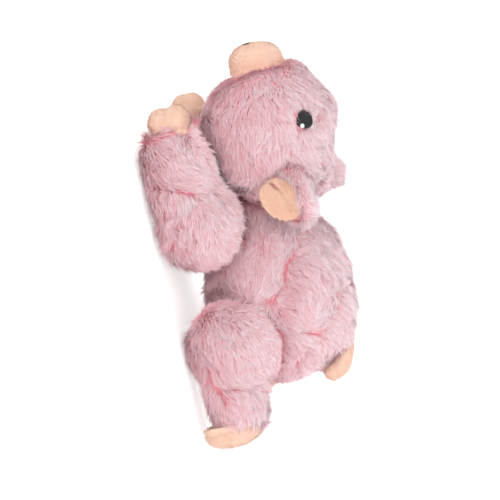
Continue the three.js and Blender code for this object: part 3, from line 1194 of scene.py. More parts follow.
def tone_of(normals: Array) -> Array:
    """How deep the pile's colour is: painted light and shade, palest where the cloth faces up and deepest
    where it faces down.
    """
    return np.clip(0.3 - 0.22 * normals[:, 2], 0, 0.36)


FLANK_PARTING = Crease(((-0.001, 0.096), (0.013, 0.087), (0.030, 0.077), (0.042, 0.066)), 3.5 * MM, 7 * MM)
THIGH_CREASE = Crease(((0.042, 0.0625), (0.056, 0.0625), (0.066, 0.066), (0.084, 0.0605)), 3.0 * MM, 6 * MM)
HAUNCH_EDGE = Crease(((0.048, 0.107), (0.059, 0.100), (0.072, 0.088), (0.0665, 0.080)), 4.0 * MM, 6 * MM)
RUMP_FOLD = Crease(((0.077, 0.0785), (0.087, 0.0685)), 2.5 * MM, 5 * MM)
MUZZLE_SEAM = Crease(((-0.080, 0.078), (-0.077, 0.090), (-0.0745, 0.103)), 1.2 * MM, 5 * MM, 0.5)
ELBOW_CREASE = Crease(((-0.052, 0.012), (-0.046, 0.024), (-0.040, 0.034)), 4.5 * MM, 6 * MM)
SHOULDER_PARTING = Crease(((-0.026, 0.024), (-0.010, 0.013)), 2.0 * MM, 5 * MM)
KNEE_CREASE = Crease(((0.090, 0.022), (0.092, 0.034), (0.094, 0.047)), 2.8 * MM, 6 * MM, 0.6)
SHIN_PARTING = Crease(((0.071, 0.0165), (0.084, 0.018), (0.098, 0.024)), 2.0 * MM, 5 * MM)


@dataclass
class Torso:
    """The body: a long stuffed barrel with a seat pressed in its side for each leg."""

    wide: Triple = (0.038, 0.0435, 0.044)
    tall: Triple = (0.041, 0.051, 0.048)
    fullness: float = 2.4
    haunch: Triple = (0.0406, 0.020, 0.082)
    haunch_half: Triple = (0.036, 0.024, 0.027)
    seat_depth: float = 22.8 * MM
    rump: float = 0.07
    rump_trim: float = 3.0 * MM
    creases: tuple[Crease, ...] = (FLANK_PARTING, THIGH_CREASE, HAUNCH_EDGE, RUMP_FOLD)
    seed: int = 11

    def __post_init__(self) -> None:
        """Places the form in the frame's box."""
        low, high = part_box("torso_skin")
        height = (low.z + high.z) / 2
        self.form = Stuffed((low.x, 0, height), (high.x, 0, height), self.wide, self.tall, self.fullness)
        x, y, z = self.haunch
        self.haunches = [Lobe((x, hand.value * y, z), self.haunch_half) for hand in Hand]

    def flow(self, points: Array, normals: Array) -> Array:
        """The pile lies towards the tail and a little up the sides."""
        return ruffled([1.0, 0.0, 0.28], points, self.seed, (0.34, 0.032), (0.24, 0.013))

    def build(self, legs: "list[Leg]", head: "Head", wardrobe: Wardrobe) -> None:
        """Makes the cloth and the pile.

        Args:
            legs: The four legs, for their seats.
            head: The head, which covers the body's front.
            wardrobe: The materials.
        """
        parts = [form.shell(-BACKING_DEPTH) for form in (self.form, *self.haunches)]
        cutters = [shell for leg in legs for shell in leg.seat(self.seat_depth)]
        skin = Skin.sculpt("torso_cloth", parts, 2.0 * MM, 6, cutters)
        points = skin.points()
        points[:, 0] -= self.rump_trim * np.clip((points[:, 0] - self.rump) / 0.03, 0, 1) ** 2
        skin.move_to(points)
        skin.fold(self.creases)
        skin.wrinkle(Waves(0.03, self.seed + 2), 0.7 * MM)
        tailor = Tailor("torso", wardrobe)
        tailor.pad("torso", skin, wardrobe.backing, "torso_skin", 0.75, "torso_stuffing")
        covering = [*legs, head.form]
        coat = Coat(
            flow=self.flow,
            scale=lambda points, normals: np.where(head.form.holds(points, -9 * MM), 0.45, 1.0),
            # Painted light and shade from the cloth's facing, and painted shade that deepens the colour where
            # the legs and the head cover the body.
            tone=lambda points, normals: tone_of(normals) + 0.24 * held(covering, points, 3 * MM),
            clear_of=lambda points: held(covering, points, -8 * MM),
            creases=self.creases,
            upright=lambda points, normals: 0.5 * held(legs, points, 5 * MM),
        )
        tailor.grow("torso", skin, coat, self.seed, panels=4)


@dataclass
class Leg:
    """One leg: a round upper lobe, a stretched lower part and a hoof at its end."""

    end: End
    hand: Hand
    lobe_radius: float
    tuck: float
    wide: Triple
    tall: Triple
    height: float
    tip_overlap: float
    covered_below: float
    creases: tuple[Crease, ...]
    seed: int
    half_depth: float = 22 * MM
    fullness: float = 2.6
    inner: float = 25 * MM

    def __post_init__(self) -> None:
        """Places the leg at its hinge, with its hoof where the frame has it."""
        way = self.end.value
        self.root = hinge(f"{self.end.word}_leg_swing_{self.hand.word}")
        self.name = f"{self.end.word}_leg_{self.hand.word}"
        self.hoof_node = f"{self.end.word}_hoof_{self.hand.word}"
        low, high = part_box(self.hoof_node)
        self.ankle = high.x if self.end is End.FRONT else low.x
        self.covered = high.z - self.covered_below
        x, y, z = self.root
        self.upper = Lobe((x, y, z), (self.lobe_radius, self.half_depth, self.lobe_radius))
        start = (x - way * self.tuck, y, self.height)
        tip = (self.ankle + way * self.tip_overlap, y, self.height)
        self.lower = Stuffed(start, tip, self.wide, self.tall, self.fullness)

    def seat(self, distance: float) -> list[Shell]:
        """The room that the leg takes in the body's side, from a distance off the middle outwards."""
        grow = SWING_GAP - BACKING_DEPTH + 0.6 * MM
        return [form.shell(grow).flattened(self.hand.value, distance) for form in (self.upper, self.lower)]

    def holds(self, points: Array, grow: float) -> Array:
        """Tells which points lie in the leg."""
        beside = self.hand.value * points[:, 1] > self.inner - grow
        return beside & held((self.upper, self.lower), points, grow)

    def flow(self, points: Array, normals: Array) -> Array:
        """Combs the pile towards the tail and a little upwards, and over the edge of the hoof.

        Args:
            points: The roots of the pile.
            normals: The cloth's normals there; not used.

        Returns:
            The way at each root.
        """
        at_end = np.clip(1 - self.end.value * (self.ankle - points[:, 0]) / (5 * MM), 0, 1)
        way = [1.0, 0.0, 0.3] + np.outer(at_end, [self.end.value - 1.0, 0, 0])
        return ruffled(way, points, self.seed, (0.26, 0.028), (0.17, 0.012))

    def cloth(self, reach: float) -> Skin:
        """Makes the leg's cloth, cut straight where the hoof starts.

        Args:
            reach: Where it is cut, along X.

        Returns:
            The cloth.
        """
        inner, way = self.inner + SWING_GAP + 1.5 * MM, self.end.value
        parts = [
            form.shell(-BACKING_DEPTH).flattened(self.hand.value, inner).above_floor(1.6 * MM)
            for form in (self.upper, self.lower)
        ]
        skin = Skin.sculpt(self.name + "_cloth", parts, 1.8 * MM, 5)
        skin.fold(self.creases)
        skin.wrinkle(Waves(0.026, self.seed + 2), 0.6 * MM)
        points = skin.points()
        points[:, 0] = way * np.minimum(way * points[:, 0], way * reach)
        points[:, 2] = np.maximum(points[:, 2], 1.2 * MM)
        skin.move_to(points)
        return skin

    def build(self, torso: Torso, head: "Head", wardrobe: Wardrobe) -> None:
        """Makes the cloth and the pile of the leg.

        Args:
            torso: The body beside it.
            head: The head above it.
            wardrobe: The materials.
        """
        side = self.hand.value
        reach = self.ankle - self.end.value * 0.6 * MM
        skin = self.cloth(reach)
        tailor = Tailor(self.name, wardrobe)
        tailor.pad(self.name, skin, wardrobe.backing, self.name, 0.7, self.name + "_stuffing")

        def scale(points: Array, normals: Array) -> Array:
            """Says how long the pile is at each root, as a share of its full length.

            Args:
                points: The roots.
                normals: The cloth's normals there.

            Returns:
                The shares.
            """
            inside = (side * normals[:, 1] < -0.7) & torso.form.holds(points, 0)
            at_hoof = (self.end.value * (points[:, 0] - reach) > -0.2 * MM) & (points[:, 2] < self.covered)
            under = (normals[:, 2] < -0.6) & (points[:, 2] < 6 * MM)
            return np.where(at_hoof, 0.0, np.where(inside, 0.5, np.where(under, 0.6, 1.0)))

        def blocked(points: Array) -> Array:
            """Tells which points are in the body or the head."""
            in_body = (side * points[:, 1] < self.inner - 2 * MM) & torso.form.holds(points, -5 * MM)
            return in_body | head.form.holds(points, -5 * MM)

        def upright(points: Array, normals: Array) -> Array:
            """Says how far the pile stands up, which it does round the leg's edge beside the body.

            Args:
                points: The roots.
                normals: The cloth's normals there.

            Returns:
                A share for each root, 0 where it lies and 1 where it stands.
            """
            rim = np.clip(1.3 - 1.5 * np.abs(normals[:, 1]), 0, 1)
            rim = rim * np.clip(points[:, 2] / (24 * MM) - 0.3, 0, 1)
            return rim * held((torso.form, head.form), points * [1, 0.5, 1], 6 * MM)

        def tone(points: Array, normals: Array) -> Array:
            """Says how deep the colour is: painted light and shade from the cloth's facing, and painted shade
            where the pile stands up at the leg's edge beside the body.
            """
            return tone_of(normals) + 0.15 * upright(points, normals)

        tailor.grow(self.name, skin, Coat(self.flow, scale, tone, blocked, self.creases, upright), self.seed)


@dataclass
class Hoof:
    """A cloven hoof of nap cloth: two blunt lobes with a cleft between them."""

    leg: Leg
    length: float
    overlap: float
    half_across: float
    half_deep: float
    offset: float
    height: float
    blunt: float
    stacked: bool
    cleft: float
    tuck_depth: float
    tuck_length: float = 8.0 * MM
    seam_depth: float = 0.7 * MM
    seam_width: float = 1.1 * MM

    def lobe(self, tip: float, shift: float, grow: float) -> Shell:
        """Makes one lobe, or the web between the two.

        Args:
            tip: Where it ends, along X.
            shift: How far it is off the hoof's middle.
            grow: How far its surface is moved outwards.

        Returns:
            The closed surface.
        """
        wide, tall, y, z = self.half_across, self.half_deep, self.leg.root[1], self.height
        if self.stacked:
            wide, tall, z = tall, wide, z + shift
        else:
            y = y + shift
        back = tip - self.leg.end.value * (2 * self.length + self.overlap)
        form = Stuffed((back, y, z), (tip, y, z), (wide,) * 3, (tall,) * 3, self.blunt)
        return form.shell(grow).above_floor(FLOOR_CLEARANCE)

    def tuck(self, points: Array) -> Array:
        """Draws the hoof in where it goes into the leg.

        Args:
            points: The hoof's points.

        Returns:
            The same points, moved.
        """
        leg, way = self.leg, self.leg.end.value
        points[:, 0] = way * np.maximum(way * points[:, 0], way * (leg.ankle - way * 4 * MM))
        out = way * (points[:, 0] - leg.ankle) / self.tuck_length
        axis = np.array([leg.root[1], self.height])
        radial = points[:, 1:] - axis
        distance = np.maximum(np.linalg.norm(radial, axis=1), 1e-6)
        drawn = self.tuck_depth * np.clip(1 - out, 0, 1) ** 1.5
        points[:, 1:] = axis + radial * (np.maximum(distance - drawn, 1 * MM) / distance)[:, None]
        points[:, 2] = np.maximum(points[:, 2], FLOOR_CLEARANCE)
        return points

    def build(self, wardrobe: Wardrobe) -> None:
        """Makes the hoof, with a seam round its edge, and its nap.

        Args:
            wardrobe: The materials.
        """
        leg, way = self.leg, self.leg.end.value
        tip = leg.ankle + way * self.length
        parts = [self.lobe(tip, shift, -0.3 * MM) for shift in (-self.offset, self.offset)]
        parts.append(self.lobe(tip - way * self.cleft, 0.0, -0.8 * MM))
        skin = Skin.sculpt(leg.hoof_node, parts, 1.0 * MM, 8)
        skin.move_to(self.tuck(skin.points()))
        points, normals = skin.points(), skin.normals()
        edge = np.clip(1 - 1.2 * np.abs(normals[:, 1]), 0, 1)
        seam = self.seam_depth * bell(points[:, 1] - leg.root[1], self.seam_width)
        skin.move_to(points - normals * (seam * edge)[:, None])
        skin.wrinkle(Waves(0.011, 71), 0.22 * MM)
        tailor = Tailor(leg.name, wardrobe)
        tailor.pad(leg.hoof_node, skin, wardrobe.nap, leg.hoof_node, 0.7)
        tailor.nap(leg.hoof_node, skin, lambda points: way * (points[:, 0] - leg.ankle) < 0)


@dataclass
class Head:
    """The head: a deep round form with a seat behind for the neck."""

    wide: Triple = (0.043, 0.048, 0.041)
    tall: Triple = (0.045, 0.0485, 0.039)
    fullness: float = 2.8
    length: float = 0.099
    brow: float = -0.093
    brow_width: float = 9 * MM
    brow_depth: float = 3.6 * MM
    crown: float = -0.082
    crown_length: float = 30 * MM
    crown_depth: float = 9.2 * MM
    corner_height: float = 28 * MM
    corner_width: float = 8 * MM
    corner_back: float = 16 * MM
    corner_length: float = 9 * MM
    corner_fill: float = 4.5 * MM
    eye_shift: Triple = (1.5 * MM, 0.0, -1.8 * MM)
    eye_facing: Triple = (-0.03, 0.77, 0.63)
    cushion: Triple = (7 * MM, 5 * MM, 5 * MM)
    cushion_depth: float = 5 * MM
    bare_shift: Triple = (-2.6 * MM, 0.0, -1.6 * MM)
    bare_radius: float = 7.8 * MM
    muzzle_length: float = 45 * MM
    creases: tuple[Crease, ...] = (MUZZLE_SEAM,)
    seed: int = 51

    def __post_init__(self) -> None:
        """Places the form in the frame's box, and the eyes and the snout where the frame has them."""
        low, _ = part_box("head_skin")
        self.front, self.height = low.x, low.z + self.tall[1]
        start, end = (low.x, 0, self.height), (low.x + self.length, 0, self.height)
        self.form = Stuffed(start, end, self.wide, self.tall, self.fullness)
        self.snout_middle = middle("snout_cover")
        low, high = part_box("snout_cover")
        self.snout_radius = (high.z - low.z) / 2
        self.eyes = {hand: middle(f"eye_{hand.word}") + np.array(self.eye_shift) for hand in Hand}
        self.facing = {hand: unit(np.array(self.eye_facing) * [1, hand.value, 1]) for hand in Hand}

    def model(self, skin: Skin) -> None:
        """Draws in the forehead and the back of the crown, and fills the top corner of the muzzle.

        Args:
            skin: The head's cloth.
        """
        points = skin.points()
        x, z = points[:, 0], points[:, 2]
        above = np.clip((z - self.height) / self.tall[1], 0, 1) ** 2
        brow = bell(x - self.brow, self.brow_width)
        crown = np.clip((x - self.crown) / self.crown_length, 0, 1)
        crown = crown * crown * (3 - 2 * crown)
        ahead = np.clip((self.front + self.corner_back - x) / self.corner_length, 0, 1)
        corner = bell(z - self.height - self.corner_height, self.corner_width) * ahead
        points[:, 2] -= above * (self.brow_depth * brow + self.crown_depth * crown)
        points[:, 0] -= self.corner_fill * corner
        skin.move_to(points)

    def flow(self, points: Array, normals: Array) -> Array:
        """The pile lies away from the snout, then back along the head."""
        spread = (points - self.snout_middle) * [0, 1, 1]
        return ruffled(unit(spread) * 0.7 + [1.0, 0.0, 0.1], points, self.seed, (0.26, 0.03), (0.2, 0.012))

    def build(self, torso: Torso, legs: list[Leg], wardrobe: Wardrobe) -> None:
        """Makes the cloth and the pile of the head.

        Args:
            torso: The body behind it, for its seat.
            legs: The four legs, which the pile keeps clear of.
            wardrobe: The materials.
        """
        centres = [tuple(self.eyes[hand] - self.facing[hand] * self.cushion_depth) for hand in Hand]
        cushions = [Lobe(centre, self.cushion).shell(0) for centre in centres]
        parts = [self.form.shell(-BACKING_DEPTH), *cushions]
        skin = Skin.sculpt("head_cloth", parts, 2.0 * MM, 6, [torso.form.shell(-3.5 * MM)])
        self.model(skin)
        skin.fold(self.creases)
        skin.wrinkle(Waves(0.03, self.seed + 2), 0.6 * MM)
        tailor = Tailor("head", wardrobe)
        tailor.pad("head", skin, wardrobe.backing, "head_skin", 0.8, "head_stuffing")

        def scale(points: Array, normals: Array) -> Array:
            """Says how long the pile is at each root, as a share of its full length.

            Args:
                points: The roots.
                normals: The cloth's normals there.

            Returns:
                The shares.
            """
            off_axis = np.linalg.norm((points - self.snout_middle)[:, 1:], axis=1)
            on_snout = (off_axis < self.snout_radius + 0.5 * MM) & (normals[:, 0] < -0.3)
            shift = np.array(self.bare_shift)
            off_eyes = [np.linalg.norm(points - eye - shift, axis=1) for eye in self.eyes.values()]
            muzzle = np.clip((points[:, 0] - self.front) / self.muzzle_length, 0, 1)
            length = np.where(torso.form.holds(points, 1 * MM), 0.9, 0.55 + 0.45 * muzzle)
            return np.where(on_snout | (np.min(off_eyes, 0) < self.bare_radius), 0.0, length)

        def near(points: Array, of_torso: float, of_legs: float) -> Array:
            """Tells which points are this near the body or the legs."""
            return torso.form.holds(points, of_torso) | held(legs, points, of_legs)

        coat = Coat(
            flow=self.flow,
            scale=scale,
            # Painted light and shade from the cloth's facing, and painted shade that deepens the colour where
            # the head meets the body and the legs.
            tone=lambda points, normals: tone_of(normals) + 0.5 * near(points, 3 * MM, 4 * MM),
            clear_of=lambda points: near(points, -9 * MM, -7 * MM),
            creases=self.creases,
            upright=lambda points, normals: 0.5 * near(points, 4 * MM, 8 * MM),
        )
        tailor.grow("head", skin, coat, self.seed, panels=2)


@dataclass
class Snout:
    """The snout: a short padded drum with a rounded front, of nap cloth."""

    corner: float = 12.5 * MM
    depth: float = 6 * MM
    dome: float = 1.2 * MM
    taper_length: float = 16 * MM
    taper: float = 0.05
    sink: float = 1.3 * MM
    lean: float = 0.05
    bare_depth: float = 5 * MM
    turns: int = 96
    steps: int = 10

    def drum(self) -> Shell:
        """Turns the snout's profile about its middle line.

        Returns:
            The closed surface.
        """
        low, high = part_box("snout_cover")
        radius, front, height = (high.z - low.z) / 2, low.x, (low.z + high.z) / 2
        back, flat = high.x + self.depth, radius - self.corner
        profile = [(back, 0.0), (back, radius * 0.97), (front + self.corner * 1.3, radius)]
        for i in range(1, self.steps + 1):
            angle = math.pi / 2 * i / self.steps
            out, down = 1 - math.sin(angle), 1 - math.cos(angle)
            profile.append((front + self.corner * out, radius - self.corner * down))
        profile += [(front - self.dome * (1 - (r / flat) ** 2), r) for r in (flat * 0.66, flat * 0.33, 0.0)]
        rows, points = len(profile), []
        for i in range(self.turns):
            angle = 2 * math.pi * i / self.turns
            points += [(x, r * math.cos(angle), height + r * math.sin(angle)) for x, r in profile]
        faces: Faces = []
        for i, k in neighbours(self.turns):
            here, there = i * rows, k * rows
            faces += [(here + j, here + j + 1, there + j + 1, there + j) for j in range(rows - 1)]
        return Shell(np.array(points), faces)

    def build(self, wardrobe: Wardrobe) -> None:
        """Makes the snout, narrower and leaned a little at its front.

        Args:
            wardrobe: The materials.
        """
        low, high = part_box("snout_cover")
        height = (low.z + high.z) / 2
        skin = Skin.sculpt("snout", [self.drum()], 1.0 * MM, 4)
        points = skin.points()
        ahead = np.clip((low.x + self.taper_length - points[:, 0]) / self.taper_length, 0, 1)
        points[:, 1:] -= self.taper * ahead[:, None] * (points[:, 1:] - [0, height])
        points[:, 0] += self.sink * ahead + self.lean * (points[:, 2] - height) * ahead
        skin.move_to(points)
        skin.wrinkle(Waves(0.02, 81), 0.25 * MM)
        tailor = Tailor("head", wardrobe)
        tailor.pad("snout", skin, wardrobe.nap, "snout_cover", 0.75, "snout_stuffing")
        tailor.nap("snout", skin, lambda points: points[:, 0] > high.x + self.depth - self.bare_depth)


@dataclass
class Tail:
    """The tail: a plump tube of nap cloth that curls down over the rump, sewn along its outer edge."""

    path: tuple[Triple, ...] = (
        (0.072, 0, 0.103), (0.089, 0, 0.1025), (0.106, 0, 0.0925), (0.0985, 0, 0.0825),
    )
    radius: Triple = (4.6 * MM, 6.3 * MM, 6.1 * MM)
    seam_depth: float = 0.6 * MM
    seam_width: float = 0.9 * MM
    pinch_depth: float = 0.9 * MM
    bare_before: float = 78 * MM

    def build(self, wardrobe: Wardrobe) -> None:
        """Makes the tail and its nap.

        Args:
            wardrobe: The materials.
        """
        t = np.linspace(0, 1, 70)
        a, b, c, d = (np.array(corner, float) for corner in self.path)
        s = t[:, None]
        spine = (1 - s) ** 3 * a + 3 * s * (1 - s) ** 2 * b + 3 * s ** 2 * (1 - s) * c + s ** 3 * d
        travelled = np.concatenate([[0], np.cumsum(np.linalg.norm(np.diff(spine, axis=0), axis=1))])
        left = np.clip((travelled[-1] - travelled) / self.radius[2], 0, 1)
        radii = between(self.radius, t) * np.sqrt(1 - (1 - left) ** 2)
        shell = swept(spine, np.maximum(radii, 0.2 * MM), flat=0.92)
        skin = Skin.sculpt("tail_cloth", [shell], 0.8 * MM, 3)
        points, normals = skin.points(), skin.normals()
        nearest = np.argmin(np.linalg.norm(points[:, None] - spine[None, ::3], axis=2), axis=1) * 3
        seam = bell(points[:, 1], self.seam_width) * ((normals[:, 0] > -0.3) & (normals[:, 2] > -0.9))
        pinch = bell(t[nearest] - 0.6, 0.05) * np.clip(-normals[:, 0] - 0.2 * normals[:, 2], 0, 1)
        skin.move_to(points - normals * (self.seam_depth * seam + self.pinch_depth * pinch)[:, None])
        skin.wrinkle(Waves(0.01, 61), 0.2 * MM)
        tailor = Tailor("tail", wardrobe)
        tailor.pad("tail", skin, wardrobe.nap, "tail", 0.8)
        tailor.nap("tail", skin, lambda points: points[:, 0] < self.bare_before)


@dataclass
class Embroidery:
    """Satin stitches laid side by side over a small padded patch."""

    outline: tuple[Pair, ...]
    centre: Array
    normal: Array
    dome: float
    way: float = 0.0
    thread: float = 0.42 * MM
    ragged: float = 0.25 * MM
    seed: int = 17
    patch_depth: float = 1.2 * MM
    stitch_points: int = 12
    strands: int = 8

    def __post_init__(self) -> None:
        """Lays out the patch's own axes."""
        self.normal = unit(np.array(self.normal, float))
        first = np.array([1.0, 0.0, 0.0]) if abs(self.normal[0]) < 0.8 else SIDEWAYS
        self.across = unit(first - self.normal * (first @ self.normal))
        self.up = np.cross(self.across, self.normal)
        if self.up[2] < 0:
            self.up = -self.up
        self.shape = np.array(self.outline)
        self.size = float(np.linalg.norm(self.shape, axis=1).max())
        self.ahead = np.array([math.cos(self.way), math.sin(self.way)])
        self.aside = np.array([-self.ahead[1], self.ahead[0]])

    def place(self, flat: Array, lift: Array | float) -> Array:
        """Puts flat points of the patch in space, on its low dome.

        Args:
            flat: The points, across and up.
            lift: How far they are off the dome.

        Returns:
            The points in space.
        """
        share = np.clip(1 - (flat ** 2).sum(1) / (1.25 * self.size) ** 2, 0, 1)
        height = np.outer(self.dome * share + lift, self.normal)
        return self.centre + np.outer(flat[:, 0], self.across) + np.outer(flat[:, 1], self.up) + height

    def crossings(self, offset: float) -> list[Pair]:
        """Finds where one line of stitching enters and leaves the outline.

        Args:
            offset: How far the line is from the patch's middle.

        Returns:
            The places along the line, in pairs.
        """
        found = []
        for a, b in zip(self.shape, np.roll(self.shape, -1, 0)):
            da, db = a @ self.aside - offset, b @ self.aside - offset
            if (da < 0) != (db < 0):
                found.append(float((a + (b - a) * (da / (da - db))) @ self.ahead))
        found.sort()
        return list(zip(found[::2], found[1::2]))

    def mesh(self, name: str) -> bpy.types.Mesh:
        """Makes the stitches and the patch under them.

        Args:
            name: The mesh's name.

        Returns:
            The mesh.
        """
        rng = np.random.default_rng(self.seed)
        reach = self.shape @ self.aside
        shells = [self.patch()]
        along = np.linspace(-0.5, 0.5, self.stitch_points)
        radii = self.thread * 0.62 * np.ones(self.stitch_points)
        radii[[0, -1]] *= 0.4
        for offset in np.arange(reach.min() + self.thread / 2, reach.max(), self.thread):
            for low, high in self.crossings(offset):
                low, high = low - abs(rng.normal(0, self.ragged)), high + abs(rng.normal(0, self.ragged))
                s = np.linspace(low, high, self.stitch_points)
                flat = np.outer(s, self.ahead) + self.aside * (offset + rng.normal(0, 0.03 * MM))
                dip = 0.7 * MM * (2 * np.abs(along)) ** 6
                shells.append(self.strand(self.place(flat, 0.12 * MM - dip), radii))
        return mesh_from(name, joined(shells))

    def strand(self, spine: Array, radii: Array) -> Shell:
        """Makes one thread, a little flattened against the patch.

        Args:
            spine: Its middle line.
            radii: Its radius at each point of that line.

        Returns:
            The closed surface.
        """
        ahead = unit(np.gradient(spine, axis=0))
        aside = unit(np.cross(self.normal, ahead))
        rings = loops(spine, aside, np.cross(ahead, aside), radii, 0.8 * radii, self.strands)
        ends = [tuple(range(self.strands - 1, -1, -1)), tuple(range(len(rings) - self.strands, len(rings)))]
        return Shell(rings, bands(self.strands, len(spine)) + ends)

    def patch(self) -> Shell:
        """Makes the padded patch under the stitches.

        Returns:
            The closed surface.
        """
        rings, count = 6, len(self.shape)
        flats = [self.shape * (0.96 * i / rings) for i in range(rings, 0, -1)]
        heart = np.zeros((1, 2))
        rows = [self.place(flats[0], -self.patch_depth), *(self.place(flat, 0.0) for flat in (*flats, heart))]
        points = np.vstack([*rows, self.place(heart, -self.patch_depth)])
        faces, top = bands(count, rings + 1), rings * count
        for j, k in neighbours(count):
            faces += [(top + j, top + k, top + count), (k, j, len(points) - 1)]
        return Shell(points, faces)


def oval(half_wide: float, half_tall: float, count: int = 20) -> tuple[Pair, ...]:
    """The outline of a small oval."""
    turns = [2 * math.pi * i / count for i in range(count)]
    return tuple((half_wide * math.cos(a), half_tall * math.sin(a)) for a in turns)


EYE_OUTLINE = tuple((x * MM, z * MM) for x, z in (
    (-6.3, 1.4), (-5.0, 3.0), (-3.3, 4.4), (-1.2, 5.7), (0.8, 6.2), (2.8, 6.2), (4.6, 5.5), (6.1, 3.9),
    (6.6, 1.6), (6.3, -1.4), (5.3, -4.0), (3.6, -5.9), (1.6, -6.3), (0.1, -5.2), (-1.0, -5.5), (-2.6, -3.6),
    (-3.9, -3.3), (-5.2, -1.6),
))


@dataclass
class Face:
    """The embroidery of the face: two eyes with their glints, and two nostrils."""

    eye_sink: float = 0.2 * MM
    glint_shift: Triple = (4.6 * MM, 0.0, -2.4 * MM)
    glint_rise: float = 1.5 * MM
    glint_radius: float = 1.5 * MM
    nostril_shift: Triple = (1.8 * MM, 0.0, 0.0)

    def build(self, head: Head, wardrobe: Wardrobe) -> None:
        """Makes the stitched patches.

        Args:
            head: The head that they are sewn on.
            wardrobe: The materials.
        """
        tailor = Tailor("head", wardrobe)
        for hand in Hand:
            normal = head.facing[hand]
            eye = head.eyes[hand] - normal * self.eye_sink
            spot = np.array(self.glint_shift) + middle(f"eye_glint_{hand.word}")
            spot = spot - normal * ((spot - eye) @ normal - self.glint_rise)
            low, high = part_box(f"nostril_{hand.word}")
            hole = oval((high.y - low.y) / 2, (high.z - low.z) / 3)
            place = middle(f"nostril_{hand.word}") + np.array(self.nostril_shift)
            glint = oval(self.glint_radius, self.glint_radius)
            patches = {
                "eye": Embroidery(EYE_OUTLINE, eye, normal, dome=1.6 * MM, way=0.35, seed=17 + hand.value),
                "eye_glint": Embroidery(
                    glint, spot, normal, dome=0.5 * MM, way=1.2, thread=0.36 * MM, ragged=0.08 * MM,
                ),
                "nostril": Embroidery(
                    hole, place, np.array([-1, 0, 0]), dome=0.5 * MM, ragged=0.1 * MM, seed=27,
                ),
            }
            for node, patch in patches.items():
                stuff = wardrobe.white if node == "eye_glint" else wardrobe.black
                name = f"{node}_{hand.word}"
                tailor.add(name + "_stitches", patch.mesh(name + "_stitches"), stuff, name)


